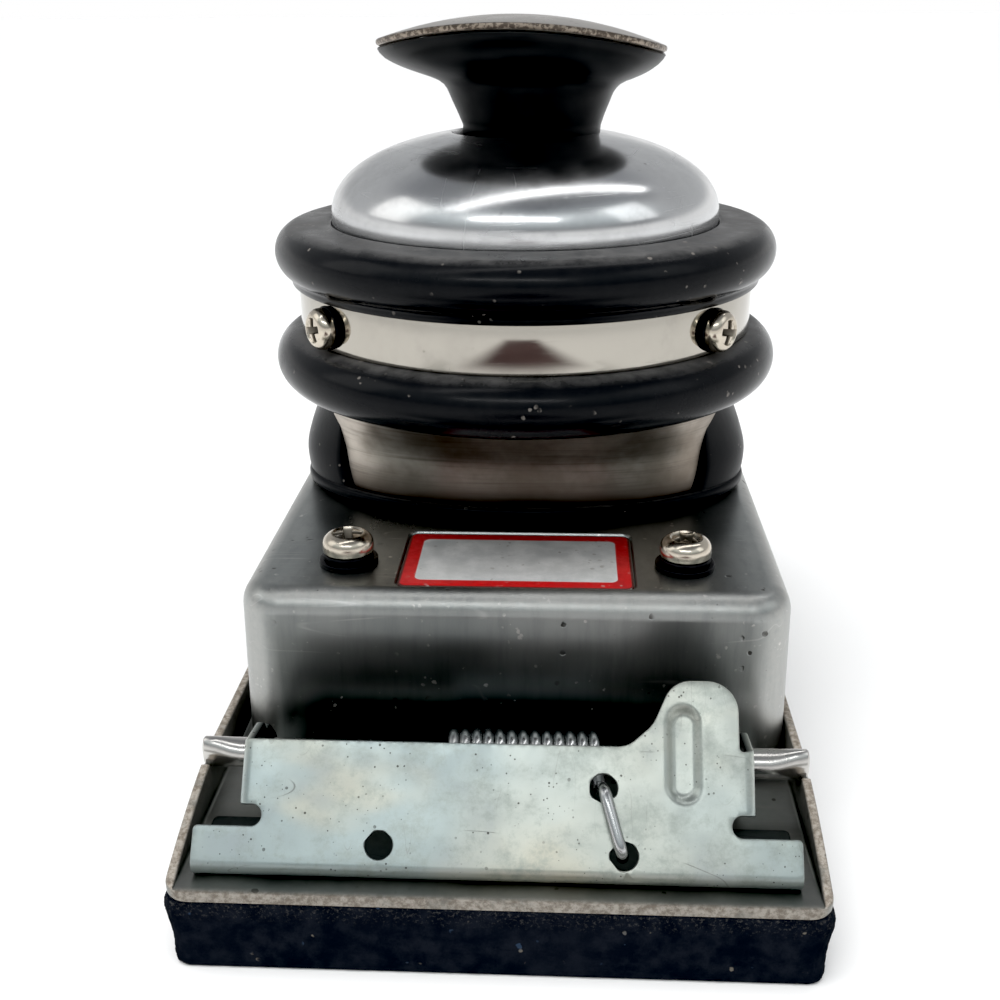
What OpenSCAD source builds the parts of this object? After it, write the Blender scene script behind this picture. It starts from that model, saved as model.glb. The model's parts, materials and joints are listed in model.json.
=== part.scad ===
// Air-powered orbital pad sander with a palm knob. Millimetres, +Z up.
// The origin is the middle of the pad's bottom face. The front is -Y.

/* [Pad and platen] */
// Width of the rubber-faced pad
pad_w = 93; // [92:0.5:96]
// Length of the pad
pad_l = 177.8; // [170:0.2:185]
// Thickness of the pad
pad_t = 11.5; // [10:0.5:14]
// Height of the platen's side rails above the pad
rail_h = 8.3; // [7.5:0.1:9]
// Diameter of the clamp pivot rods
rod_d = 4.6; // [4:0.1:5]

/* [Shroud] */
// Width of the cast shroud at its open bottom edge
shroud_w = 87.8; // [80:0.2:88]
// Length of the cast shroud at its open bottom edge
shroud_l = 112.8; // [108:0.2:113]
// Height of the shroud's top face above the floor
deck_z = 43.5; // [43:0.1:44]

/* [Motor and housing] */
// Throw of the crank, which is half of the orbit's diameter
orbit_r = 1.2; // [0.8:0.1:1.5]
// Radius of the exhaust band
band_r = 41; // [40.5:0.1:42]
// Largest radius of the upper bumper ring
upper_ring_r = 44.9; // [44:0.1:46]
// Largest radius of the lower bumper ring
lower_ring_r = 45.7; // [44:0.1:46]
// Radius of the polished dome at its foot
dome_r = 34.6; // [33:0.1:35]
// Radius of the bore that holds the vane motor
motor_bore_r = 24; // [22:0.5:25]
// Across-flats size of the air inlet bushing
inlet_flats = 17; // [15:0.5:17]
// Radius of the air inlet's threaded hole
inlet_r = 5.6; // [5:0.1:6]

/* [Palm knob] */
// Radius of the knob's rim
knob_r = 25; // [22:0.5:27]
// Travel of the push-to-run knob
knob_travel = 2; // [1:0.5:2]

/* [Paper clamps] */
// Full width of the clamp's jaw
jaw_w = 86; // [80:0.5:87]
// Distance between the outsides of the clamp's ears
ear_w = 73.6; // [70:0.2:78]
// Slope of the clamp plate above the horizontal, degrees
clamp_slope = 52; // [48:1:56]
// Number of turns in each clamp spring
clamp_turns = 13; // [9:1:14]

/* [Hidden] */
$fn = 96;

sheet_t = 1.6;                 // platen floor
rail_t = 1.4;                  // platen sides, drawn thinner as they are turned up
clamp_t = 1.2;                 // clamp steel
eps = 0.05;                    // overlap used only between pieces that are joined or cut
slip = 0.08;                   // running clearance of pins in their holes

// heights
floor_z = pad_t + sheet_t;     // top of the platen's floor
rail_z = pad_t + rail_h;       // top of the platen's rails
shroud_z = 15.6;               // open bottom edge of the shroud
wall_t = 3;                    // shroud deck thickness
gasket_t = 0.5;
base_z = deck_z + gasket_t;    // foot of the motor housing
flange_t = 2.2;                // grip collar's foot
neck_top = 65;                 // where the neck meets the round barrel
lower_ring_z = 64.3;           // lowest line of the lower bumper ring
ring_gap = [74.4, 82.8];       // the exhaust band's lower and upper edge
barrel_top = 90;
bore_z = 58;                   // floor of the motor bore
liner_z = [62, 78];            // cylinder liner
plate_top = 88;                // top of the upper end plate
valve_top = 96;                // top of the valve body

// motor axis: the crank holds the housing one throw to the right of the platen
motor_x = orbit_r;
shaft_r = 5;
stub_r = 4;
barrel_r = 36;

// four shroud screws stand over the rubber posts
post_x = 27.4;
post_y = 43;
post_r = 8;
screw_r = 2;

// four screws hold the exhaust band
band_angles = [39.5, 140.5, 219.5, 320.5];
band_mid = (ring_gap[0] + ring_gap[1]) / 2;

// inlet on the rear of the neck
inlet_z = 55.3;
boss_end = 34;
inlet_end = 50;

// clamp pivots
rod_r = rod_d / 2;
rod_y = 64.5;
rod_z = 20.5;
rod_l = 93;

// the clamp is drawn flat, x across and y up the slope, from this foot
clamp_foot = [-0.3, -87.34, 14.0];
bend_s = 2.78;                 // where the flat plate meets its bottom bend
bend_r = 1.8;                  // outer radius of the bottom bend
plate_top_s = 19.9;            // upper edge of the plate
slot_s = 9.1;                  // relief slots beside the jaw
slot_r = 1.5;
slot_x = 34.8;
tab_x = 29.9;                  // thumb tab
tab_s = 29.5;

// ---------- shared shapes ----------
module rrect(w, l, r) {
    square([w - 2 * r, l], center = true);
    square([w, l - 2 * r], center = true);
    for (x = [-1, 1], y = [-1, 1])
        translate([x * (w / 2 - r), y * (l / 2 - r)]) circle(r);
}

function oval(a, b, n, steps = 64) = [for (i = [0:steps - 1])
    let (t = 360 * i / steps, c = cos(t), s = sin(t))
    [a * sign(c) * pow(abs(c), 2 / n), b * sign(s) * pow(abs(s), 2 / n)]];

module oval_slab(a, b, n, z, h = 0.01) {
    translate([0, 0, z]) linear_extrude(h) polygon(oval(a, b, n));
}

module at_motor() {
    translate([motor_x, 0, 0]) children();
}

module at_posts() {
    for (x = [-1, 1], y = [-1, 1])
        translate([motor_x + x * post_x, y * post_y, 0]) children();
}

module at_platen_posts() {
    for (x = [-1, 1], y = [-1, 1]) translate([x * post_x, y * post_y, 0]) children();
}

module at_band_screws() {
    at_motor() for (a = band_angles)
        rotate([0, 0, a]) translate([0, 0, band_mid]) rotate([0, 90, 0]) children();
}

module ring(ro, ri, z0, z1) {
    difference() {
        translate([0, 0, z0]) cylinder(r = ro, h = z1 - z0);
        translate([0, 0, z0 - 1]) cylinder(r = ri, h = z1 - z0 + 2);
    }
}

// pan head with a cross recess; the shank points down from z = 0
module pan_screw(head_r, head_h, shank_r, shank_l) {
    difference() {
        union() {
            intersection() {
                translate([0, 0, head_h - head_r * 1.35]) sphere(r = head_r * 1.35);
                cylinder(r = head_r, h = head_h);
            }
            translate([0, 0, -shank_l]) cylinder(r = shank_r, h = shank_l + eps);
        }
        for (a = [0, 90]) rotate([0, 0, a]) translate([0, 0, head_h])
            cube([head_r * 1.15, head_r * 0.24, head_h * 1.1], center = true);
    }
}

// a wire of radius r swept along points p; "up" is a direction that p rarely follows
function unit(v) = v / norm(v);
function wire_ring(p, i, r, up, sides) =
    let (n = len(p) - 1,
         t = unit(p[min(i + 1, n)] - p[max(i - 1, 0)]),
         a = unit(cross(up, t)),
         b = cross(t, a))
    [for (k = [0:sides - 1]) let (q = 360 * k / sides) p[i] + r * (cos(q) * a + sin(q) * b)];

module wire(p, r, up, sides = 10) {
    n = len(p);
    pts = [for (i = [0:n - 1]) each wire_ring(p, i, r, up, sides)];
    skin = [for (i = [0:n - 2], k = [0:sides - 1])
        let (a = i * sides + k, b = i * sides + (k + 1) % sides)
        [a, a + sides, b + sides, b]];
    cap0 = [[for (k = [0:sides - 1]) k]];
    cap1 = [[for (k = [sides - 1:-1:0]) (n - 1) * sides + k]];
    polyhedron(pts, concat(skin, cap0, cap1));
}

// ---------- shroud and what is screwed to it ----------
module shroud() {
    top_w = shroud_w - 0.4;
    top_l = shroud_l - 1.6;
    cast_r = 7;
    color("silver") difference() {
        at_motor() hull() {
            translate([0, 0, shroud_z]) linear_extrude(0.1) rrect(shroud_w, shroud_l, cast_r, $fn = 32);
            for (k = [0:3]) let (q = 30 * k, edge = 3.8)
                translate([0, 0, deck_z - edge * (1 - sin(q)) - 0.1])
                    linear_extrude(0.1)
                        rrect(top_w - 2 * edge * (1 - cos(q)), top_l - 2 * edge * (1 - cos(q)),
                            cast_r - edge * (1 - cos(q)), $fn = 32);
        }
        at_motor() translate([0, 0, shroud_z - 1])
            linear_extrude(deck_z - wall_t - shroud_z + 1) rrect(shroud_w - 6.6, shroud_l - 6.6, 4);
        at_motor() translate([0, 0, deck_z - wall_t - 1]) cylinder(r = 12, h = 9);
        at_posts() translate([0, 0, deck_z - 9]) cylinder(r = screw_r + 0.15, h = 12);
        at_motor() for (x = [-25, 25], y = [-12, 12])
            translate([x, y, deck_z - 9]) cylinder(r = 1.75, h = 12);
        translate([motor_x + 0.2, -40.9, deck_z - 0.6]) linear_extrude(3) rrect(38, 22, 1.5);
    }
}

module label_plate() {
    color("firebrick") translate([motor_x + 0.2, -40.9, deck_z - 0.6])
        linear_extrude(0.4) rrect(37.4, 21.4, 1.3);
}

washer_t = 0.9;
lock_t = 1.3;

module shroud_flat_washers() {
    color("black") at_posts() ring(4.8, screw_r + 0.2, deck_z, deck_z + washer_t);
}

module shroud_lock_washers() {
    color("black") at_posts() difference() {
        ring(4.1, screw_r + 0.2, deck_z + washer_t, deck_z + washer_t + lock_t);
        translate([3, 0, deck_z + washer_t]) rotate([20, 0, 0])
            cube([6, 0.5, 6], center = true);
    }
}

module shroud_screws() {
    color("silver") at_posts() translate([0, 0, deck_z + washer_t + lock_t])
        pan_screw(4.2, 3.1, screw_r, 13);
}

module rubber_posts() {
    color("black") at_posts() difference() {
        translate([0, 0, floor_z]) cylinder(r = post_r, h = deck_z - wall_t - floor_z);
        translate([0, 0, deck_z - 12]) cylinder(r = screw_r, h = 12);
        translate([0, 0, floor_z - 1]) cylinder(r = screw_r + 1.3, h = 9);
    }
}

module base_gasket() {
    color("dimgray") at_motor() difference() {
        oval_slab(35.6, 21.6, 2.7, deck_z, gasket_t);
        translate([0, 0, deck_z - 1]) cylinder(r = 12, h = 3);
        for (x = [-25, 25], y = [-12, 12])
            translate([x, y, deck_z - 1]) cylinder(r = 1.75, h = 3);
    }
}

// ---------- motor housing ----------
module neck_shape() {
    hull() {
        oval_slab(36, 22, 2.7, base_z);
        oval_slab(36, 23.2, 2.7, 53);
        oval_slab(36.4, 27, 2.6, 59.5);
        oval_slab(37.5, 34, 2.2, neck_top - 0.01);
    }
}

module motor_housing() {
    color("gainsboro") at_motor() difference() {
        union() {
            neck_shape();
            translate([0, 0, neck_top - eps])
                cylinder(r = barrel_r, h = barrel_top - neck_top + eps);
            translate([0, 15, inlet_z]) rotate([-90, 0, 0]) cylinder(r = 8.6, h = boss_end - 15);
            for (a = band_angles) rotate([0, 0, a]) translate([30, 0, band_mid])
                rotate([0, 90, 0]) cylinder(r = 3.2, h = band_r - 1.45 - 30);
        }
        translate([0, 0, bore_z]) cylinder(r = motor_bore_r, h = 60);
        translate([0, 0, base_z - 1]) cylinder(r = 9, h = 40);
        translate([0, 0, bore_z - 8]) cylinder(r = 13, h = 20);
        for (x = [-25, 25], y = [-12, 12])
            translate([x, y, base_z - 1]) cylinder(r = 1.6, h = 11);
        for (a = band_angles) rotate([0, 0, a]) translate([30, 0, band_mid])
            rotate([0, 90, 0]) cylinder(r = 1.5, h = 20);
        // exhaust ports, on the front half
        for (a = [230, 250, 270, 290, 310]) rotate([0, 0, a]) translate([20, 0, 76.4])
            rotate([0, 90, 0]) cylinder(r = 1.5, h = 20);
        // inlet socket and the air way up to the valve
        translate([0, 27, inlet_z]) rotate([-90, 0, 0]) cylinder(r = 6.5, h = 20);
        translate([0, 28.5, inlet_z]) cylinder(r = 2, h = 50);
    }
}

module motor_screws() {
    color("gray") at_motor() for (x = [-25, 25], y = [-12, 12])
        translate([x, y, deck_z - wall_t]) mirror([0, 0, 1])
            pan_screw(3.2, 2.2, 1.6, 11);
}

module grip_collar() {
    lobe_y = 30;
    color("black") at_motor() difference() {
        union() {
            oval_slab(41.8, 26, 2, base_z, flange_t);
            intersection() {
                hull() {
                    oval_slab(41.6, 25, 2, base_z + 1);
                    oval_slab(42, 24, 2, 50);
                    oval_slab(40.6, 25, 2, 55);
                    oval_slab(38.8, 27, 2, 60);
                    oval_slab(37.8, 30, 2, lower_ring_z - 0.2);
                }
                translate([0, 0, 50]) cube([100, lobe_y, 40], center = true);
            }
        }
        neck_shape();
        translate([0, 0, base_z - 0.5]) linear_extrude(1) polygon(oval(36, 22, 2.7));
    }
}

module lower_bumper_ring() {
    bulge = (ring_gap[0] - lower_ring_z) / 2;
    color("black") at_motor() rotate_extrude() intersection() {
        union() {
            translate([barrel_r, neck_top])
                square([lower_ring_r - bulge - barrel_r, ring_gap[0] - neck_top]);
            translate([lower_ring_r - bulge, lower_ring_z + bulge]) circle(bulge);
        }
        translate([barrel_r, lower_ring_z - 1]) square(bulge * 3);
    }
}

function arc(cx, cz, r, from, to, steps) = [for (i = [0:steps])
    let (a = from + (to - from) * i / steps) [cx + r * cos(a), cz + r * sin(a)]];

module upper_bumper_ring() {
    bulge = 4.6;
    lip = 42.2;
    color("black") at_motor() rotate_extrude() polygon(concat(
        [[barrel_r, ring_gap[1]], [lip, ring_gap[1]]],
        arc(upper_ring_r - bulge, 88.3, bulge, -62, 78, 22),
        [[dome_r, 92.9], [dome_r, barrel_top], [barrel_r, barrel_top]]));
}

module exhaust_muffler() {
    color("tan") difference() {
        at_motor() ring(band_r - 1.2, barrel_r, ring_gap[0] + 0.6, ring_gap[1] - 0.6);
        at_band_screws() translate([0, 0, 30]) cylinder(r = 3.2, h = 20);
    }
}

module exhaust_band() {
    color("silver") difference() {
        at_motor() ring(band_r, band_r - 1.2, ring_gap[0], ring_gap[1]);
        at_band_screws() translate([0, 0, 30]) cylinder(r = 1.9, h = 20);
    }
}

module band_washers() {
    color("black") at_band_screws() ring(3.7, 1.9, band_r, band_r + 0.9);
}

module band_screws() {
    color("silver") at_band_screws() translate([0, 0, band_r + 0.9])
        pan_screw(3.5, 2.5, 1.5, 9);
}

// ---------- dome and throttle ----------
dome_foot = barrel_top;
dome_waist = 94.2;
dome_h = 14.6;
dome_wall = 2.5;
dome_n = 2.15;                 // a little squarer than an ellipse
function dome_arc(a, b, steps = 28) = [for (i = [0:steps])
    [a * pow(cos(90 * i / steps), 2 / dome_n), dome_waist + b * pow(sin(90 * i / steps), 2 / dome_n)]];

stem_r = 12.1;
knob_bore_r = 12.9;            // the knob's stem is loose in the dome

module cap_seal() {
    color("black") at_motor() ring(dome_r - 0.6, dome_r - dome_wall, dome_foot, dome_foot + 0.6);
}

module dome_cap() {
    boss_z = 103;
    color("silver") at_motor() difference() {
        rotate_extrude() difference() {
            polygon(concat([[0, dome_foot + 0.6], [dome_r, dome_foot + 0.6]],
                dome_arc(dome_r, dome_h)));
            difference() {
                polygon(concat([[0, dome_foot - 1], [dome_r - dome_wall, dome_foot - 1]],
                    dome_arc(dome_r - dome_wall, dome_h - dome_wall)));
                translate([0, boss_z]) square([knob_bore_r + 3.5, 20]);
            }
        }
        cylinder(r = knob_bore_r, h = 200);
    }
}

knob_z = [100.5, 127.2];
neck_z = 107.2;                // the stem stays straight up to the dome's lip when pressed
pin_z = 93.2;                  // foot of the valve pin
crown_x_r = 69.4;              // curve of the knob's top, side to side
crown_y_r = 260;               // and front to back
under_r = 92;                  // curve of the cap's underside, side to side
cap_t = 2.5;

module cap_underside() {
    translate([0, 0, knob_z[1] - cap_t - under_r]) rotate([90, 0, 0])
        cylinder(r = under_r, h = 80, center = true, $fn = 720);
}

module knob_cap() {
    color("silver") at_motor() difference() {
        intersection() {
            translate([0, 0, 110]) cylinder(r = knob_r, h = 30);
            translate([0, 0, knob_z[1] - crown_y_r]) rotate([0, 90, 0]) rotate_extrude($fn = 720)
                intersection() {
                    translate([crown_y_r - crown_x_r, 0]) circle(crown_x_r, $fn = 720);
                    translate([crown_y_r - 12, -28]) square([20, 56]);
                }
        }
        cap_underside();
    }
}

module knob_stem() {
    rim = knob_r - 0.1;
    color("black") at_motor() difference() {
        intersection() {
            rotate_extrude() polygon([[0, knob_z[0]], [stem_r, knob_z[0]], [stem_r, neck_z + knob_travel],
                [12.9, 111.1], [13.7, 112.8], [14.5, 114.8], [15.4, 115.9], [17, 116.7],
                [20, 117.7], [22, 118.6], [23.6, 119.6], [rim, 121.2], [rim, 130], [0, 130]]);
            cap_underside();
        }
        // spring pocket round the valve pin's socket
        translate([0, 0, knob_z[0] - 1]) ring(9, 3.4, 0, 6.5);
        translate([0, 0, knob_z[0] - 1]) cylinder(r = 2, h = 6);
        ring(stem_r + 1, 10.9, 101.5, 102.7);
    }
}

module knob_retaining_ring() {
    color("gray") at_motor() difference() {
        ring(14.8, 10.9, 101.5, 102.7);
        translate([13, 0, 102]) cube([8, 5, 6], center = true);
    }
}

module valve_pin() {
    color("gray") at_motor() translate([0, 0, pin_z]) cylinder(r = 2, h = knob_z[0] + 5 - pin_z);
}

module throttle_spring() {
    coil_r = 6.2;
    turns = 4;
    z0 = valve_top + 0.6;
    z1 = knob_z[0] + 4.9;
    pts = [for (i = [0:turns * 16]) let (a = 360 * i / 16)
        [coil_r * cos(a), coil_r * sin(a), z0 + (z1 - z0) * i / (turns * 16)]];
    color("silver") at_motor() wire(pts, 0.55, [0, 0, 1]);
}

module valve_body() {
    color("darkgray") at_motor() difference() {
        union() {
            translate([0, 0, barrel_top]) cylinder(r = 26, h = valve_top - barrel_top);
            translate([0, 0, plate_top]) cylinder(r = motor_bore_r, h = 3);
        }
        translate([0, 0, plate_top - 1]) cylinder(r = 9, h = 4.2);
        cylinder(r = 2.06, h = 200);
        translate([0, 0, valve_top - 1.6]) cylinder(r = 3.6, h = 2);
        translate([0, 0, 93.4]) rotate([-90, 0, 0]) cylinder(r = 1.5, h = 40);
    }
}

module valve_seal() {
    color("black") at_motor() ring(3.6, 2.1, valve_top - 1.6, valve_top - 0.1);
}

// ---------- vane motor ----------
module shaft_seal() {
    color("black") at_motor() ring(9, shaft_r + slip, base_z, base_z + 4);
}

module ball_bearing(ro, ri, z, h) {
    race = (ro - ri) * 0.28;
    mid = (ro + ri) / 2;
    rotate_extrude() difference() {
        translate([ri, z]) square([ro - ri, h]);
        for (e = [z - 1, z + h - 0.8]) translate([ri + race, e]) square([ro - ri - 2 * race, 1.8]);
    }
}

module lower_bearing() {
    color("lightsteelblue") at_motor() ball_bearing(13, shaft_r + slip, bore_z - 8, 8);
}

module upper_bearing() {
    color("lightsteelblue") at_motor() ball_bearing(13, shaft_r + slip, plate_top - 8, 8);
}

module lower_end_plate() {
    color("gray") at_motor() difference() {
        ring(motor_bore_r, shaft_r + 0.4, bore_z, liner_z[0]);
        translate([21.5, 0, bore_z + 1]) cylinder(r = 1, h = 10);
    }
}

module upper_end_plate() {
    color("gray") at_motor() difference() {
        ring(motor_bore_r, shaft_r + 0.4, liner_z[1], plate_top);
        translate([0, 0, plate_top - 8]) cylinder(r = 13, h = 20);
        translate([21.5, 0, liner_z[1] - 3]) cylinder(r = 1, h = 6);
    }
}

liner_off = 1.5;               // the liner's bore stands off the shaft's axis
rotor_r = 17.2;
module cylinder_liner() {
    color("slategray") at_motor() difference() {
        translate([0, 0, liner_z[0]]) cylinder(r = motor_bore_r, h = liner_z[1] - liner_z[0]);
        translate([0, liner_off, 0]) cylinder(r = rotor_r + liner_off + 0.15, h = 200);
        translate([21.5, 0, liner_z[0] - 1]) cylinder(r = 1, h = 30);
        for (a = [230, 250, 270, 290, 310]) rotate([0, 0, a]) translate([10, 0, 76.4])
            rotate([0, 90, 0]) cylinder(r = 1.2, h = 20);
    }
}

module liner_pin() {
    color("silver") at_motor() translate([21.5, 0, bore_z + 1])
        cylinder(r = 1, h = liner_z[1] + 3 - bore_z - 1);
}

vane_count = 5;
vane_t = 1.6;
vane_z = [liner_z[0] + 0.2, liner_z[1] - 0.2];
module at_vanes() {
    for (i = [0:vane_count - 1]) rotate([0, 0, 90 + 360 * i / vane_count]) children();
}

module rotor() {
    h = vane_z[1] - vane_z[0];
    color("dimgray") at_motor() difference() {
        ring(rotor_r, shaft_r, vane_z[0], vane_z[1]);
        at_vanes() translate([9.5, -vane_t / 2 - slip, vane_z[0] - 1])
            cube([20, vane_t + 2 * slip, h + 2]);
        translate([-1, shaft_r - 1.5, vane_z[0] - 1]) cube([2, 2.7, h + 2]);
    }
}

module vanes() {
    h = vane_z[1] - vane_z[0];
    color("saddlebrown") at_motor() at_vanes()
        translate([9.6, -vane_t / 2, vane_z[0]]) cube([rotor_r - 9.7, vane_t, h]);
}

module rotor_key() {
    color("gray") at_motor() translate([-1, shaft_r - 1.5, vane_z[0] + 1])
        cube([2, 2.7, vane_z[1] - vane_z[0] - 2]);
}

module rotor_nut() {
    color("gray") at_motor() difference() {
        translate([0, 0, plate_top + 0.2]) cylinder(r = 8, h = 2.4, $fn = 6);
        translate([0, 0, plate_top - 1]) cylinder(r = 3.5, h = 6);
    }
}

// ---------- crank ----------
weight_z = [29, 38];
module crankshaft() {
    color("lightgray") difference() {
        union() {
            at_motor() {
                translate([0, 0, weight_z[0]]) cylinder(r = shaft_r, h = plate_top + 0.2 - weight_z[0]);
                translate([0, 0, plate_top]) cylinder(r = 3.5, h = 2.8);
                translate([0, 0, weight_z[0] - 2.5]) cylinder(r = 8, h = 2.5);
            }
            translate([0, 0, 16.9]) cylinder(r = stub_r, h = weight_z[0] - 16.9);
        }
        at_motor() translate([-1, shaft_r - 1.5, vane_z[0] + 1])
            cube([2, 2.7, vane_z[1] - vane_z[0] - 2]);
    }
}

module at_weight_screws() {
    for (y = [-10, 10]) translate([motor_x + 6, y, 0]) children();
}

module counterweight() {
    color("darkgray") difference() {
        at_motor() union() {
            ring(9, shaft_r, weight_z[0], weight_z[1]);
            intersection() {
                ring(19, shaft_r, weight_z[0], weight_z[1]);
                translate([0, -20, 0]) cube([20, 40, 60]);
            }
        }
        at_weight_screws() cylinder(r = 1.6, h = 60);
    }
}

module counterweight_screws() {
    color("gray") at_weight_screws() translate([0, 0, weight_z[1]])
        pan_screw(3, 1.8, 1.6, 9);
}

// ---------- platen ----------
function rail_top(y) = max(floor_z + 0.1, rail_z - (abs(y) > 62 ? 6.4 * pow((abs(y) - 62) / 26, 1.5) : 0));

// side view of the pressed tray, front to back
module tray_side() {
    half = pad_l / 2;
    n = 16;
    polygon(concat([[-half, pad_t], [half, pad_t]],
        [for (i = [0:n]) let (y = half - (half - 62) * i / n) [y, rail_top(y)]],
        [for (i = [n:-1:0]) let (y = -half + (half - 62) * i / n) [y, rail_top(y)]]));
}

hub_bolts = [90, 210, 330];
module at_hub_bolts() {
    for (a = hub_bolts) rotate([0, 0, a]) translate([18.5, 0, 0]) children();
}

module platen() {
    color("slategray") difference() {
        intersection() {
            translate([0, 0, pad_t]) linear_extrude(20) rrect(pad_w + 0.4, pad_l, 2.5);
            rotate([90, 0, 90]) linear_extrude(200, center = true) tray_side();
        }
        translate([0, 0, floor_z + 20])
            cube([pad_w + 0.4 - 2 * rail_t, pad_l + 20, 40], center = true);
        for (y = [-rod_y, rod_y]) translate([0, y, rod_z]) rotate([0, 90, 0])
            cylinder(r = rod_r, h = 120, center = true);
        at_platen_posts() translate([0, 0, pad_t - 1]) cylinder(r = screw_r, h = 5);
        at_hub_bolts() translate([0, 0, pad_t - 1]) cylinder(r = 1.6, h = 5);
    }
}

module pad() {
    color([0.07, 0.07, 0.09]) difference() {
        linear_extrude(pad_t) rrect(pad_w, pad_l, 2.5);
        at_platen_posts() translate([0, 0, pad_t - 2]) cylinder(r = 4.4, h = 5);
        at_hub_bolts() translate([0, 0, pad_t - 2]) cylinder(r = 3.4, h = 5);
    }
}

module post_screws() {
    color("gray") at_platen_posts() translate([0, 0, pad_t]) mirror([0, 0, 1])
        pan_screw(4, 1.8, screw_r, 8);
}

hub_floor = 16.4;
module bearing_hub() {
    color("darkgray") difference() {
        union() {
            translate([0, 0, floor_z]) cylinder(r = 22.5, h = 2.5);
            translate([0, 0, floor_z]) cylinder(r = 14, h = 12.2);
        }
        translate([0, 0, hub_floor]) cylinder(r = 11, h = 20);
        translate([0, 0, hub_floor + 7]) cylinder(r = 11.8, h = 1.1);
        translate([0, 0, floor_z + 1.5]) cylinder(r = 7, h = 9);
        at_hub_bolts() cylinder(r = 1.6, h = 60);
    }
}

module hub_screws() {
    color("gray") at_hub_bolts() translate([0, 0, pad_t]) mirror([0, 0, 1])
        pan_screw(3, 1.7, 1.6, sheet_t + 2.5);
}

module eccentric_bearing() {
    color("lightsteelblue") ball_bearing(11, stub_r + slip, hub_floor, 7);
}

module hub_circlip() {
    color("gray") difference() {
        ring(11.8, 9.6, hub_floor + 7, hub_floor + 8.1);
        translate([12, 0, hub_floor + 7]) cube([8, 7, 5], center = true);
    }
}

// ---------- paper clamps ----------
module pivot_rod() {
    color("silver") translate([0, -rod_y, rod_z]) rotate([0, 90, 0])
        cylinder(r = rod_r, h = rod_l, center = true);
}

module clamp_outline() {
    lip = 0.6;
    difference() {
        union() {
            translate([-jaw_w / 2, bend_s + 1]) square([jaw_w, slot_s - bend_s - 1]);
            translate([-ear_w / 2, slot_s - eps]) square([ear_w, plate_top_s - slot_s + eps]);
            // thumb tab with a sloping root
            polygon([[16, plate_top_s - 1], [16, plate_top_s], [19.5, plate_top_s + 0.8],
                [22.4, plate_top_s + 3.4], [tab_x - 4.7, tab_s - 3.6], [tab_x - 3.6, tab_s - 1.2],
                [tab_x - 1.6, tab_s], [tab_x + 1.6, tab_s], [tab_x + 3.9, tab_s - 1.2],
                [tab_x + 4.7, tab_s - 3.4], [tab_x + 4.7, plate_top_s - 1]]);
        }
        for (s = [-1, 1]) {
            translate([s * (slot_x + 20 - slot_r), slot_s]) square([40, 2 * slot_r], center = true);
            translate([s * (slot_x), slot_s]) circle(slot_r);
        }
        // notch between the tab and the right ear
        translate([tab_x + 4.7, plate_top_s - lip]) square([2, 5]);
    }
}

clamp_holes = [[-16.3, 5.4], [15.3, 14.0], [18.2, 4.8]];

// distance of the rod from the plate's outer face, and its place up the slope
rod_rel = [-rod_y, rod_z] - [clamp_foot[1], clamp_foot[2]];
rod_s = rod_rel[0] * cos(clamp_slope) + rod_rel[1] * sin(clamp_slope);
rod_n = -rod_rel[0] * sin(clamp_slope) + rod_rel[1] * cos(clamp_slope);

module ear_outline() {
    difference() {
        union() {
            polygon([[slot_s + slot_r, 0], [plate_top_s, 0], [plate_top_s + 3.4, -7.5],
                [plate_top_s + 2, -9.5], [rod_s + 4.1, rod_n + 0.6], [rod_s, rod_n - 4.3],
                [rod_s - 3.6, rod_n - 2]]);
            translate([rod_s, rod_n]) circle(4.3);
        }
        translate([rod_s, rod_n]) circle(rod_r + slip);
    }
}

// side view of the jaw: up the plate, round the bend and back under it
module jaw_side() {
    cs = bend_s;
    cn = -bend_r;
    in_r = bend_r - clamp_t;
    back = 180 + clamp_slope;
    fl = 11.5;
    polygon(concat(
        [[slot_s - slot_r, 0]], arc(cs, cn, bend_r, 90, 270 - clamp_slope, 12),
        [[cs + bend_r * cos(270 - clamp_slope) + fl * cos(clamp_slope),
          cn + bend_r * sin(270 - clamp_slope) - fl * sin(clamp_slope)],
         [cs + in_r * cos(270 - clamp_slope) + fl * cos(clamp_slope),
          cn + in_r * sin(270 - clamp_slope) - fl * sin(clamp_slope)]],
        arc(cs, cn, in_r, 270 - clamp_slope, 90, 12), [[slot_s - slot_r, -clamp_t]]));
}

// pressed stiffening channel, run up the plate
module rib(w0, w1, n0, n1) {
    translate([27, 13, 0]) rotate([-90, 0, 0]) mirror([0, 1, 0]) linear_extrude(11.5)
        polygon([[-w0, n0], [-w1, n1], [w1, n1], [w0, n0]]);
}

module clamp_sheet() {
    difference() {
        union() {
            translate([0, 0, -clamp_t]) linear_extrude(clamp_t) clamp_outline();
            rotate([90, 0, 90]) linear_extrude(jaw_w, center = true) jaw_side();
            rib(2.4, 1.5, -clamp_t + 0.1, -clamp_t - 0.9);
        }
        for (h = clamp_holes) translate([h[0], h[1], -5]) cylinder(r = 2, h = 10);
        rib(2.0, 1.1, 0.1, -0.9);
    }
    // ears, bent back from the plate's ends
    for (s = [-1, 1]) translate([s > 0 ? ear_w / 2 - clamp_t : -ear_w / 2, 0, 0])
        rotate([90, 0, 90]) linear_extrude(clamp_t) ear_outline();
}

module clamp_part() {
    color("lightsteelblue") translate(clamp_foot) rotate([clamp_slope, 0, 0]) clamp_sheet();
}

coil_r = 3.55;
wire_r = 0.9;
coil_x = [-8.6, 14.2];

// a point given on the clamp plate, h above its outer face
function on_clamp(x, s, h) = clamp_foot + [x, s * cos(clamp_slope) - h * sin(clamp_slope),
    s * sin(clamp_slope) + h * cos(clamp_slope)];

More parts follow.
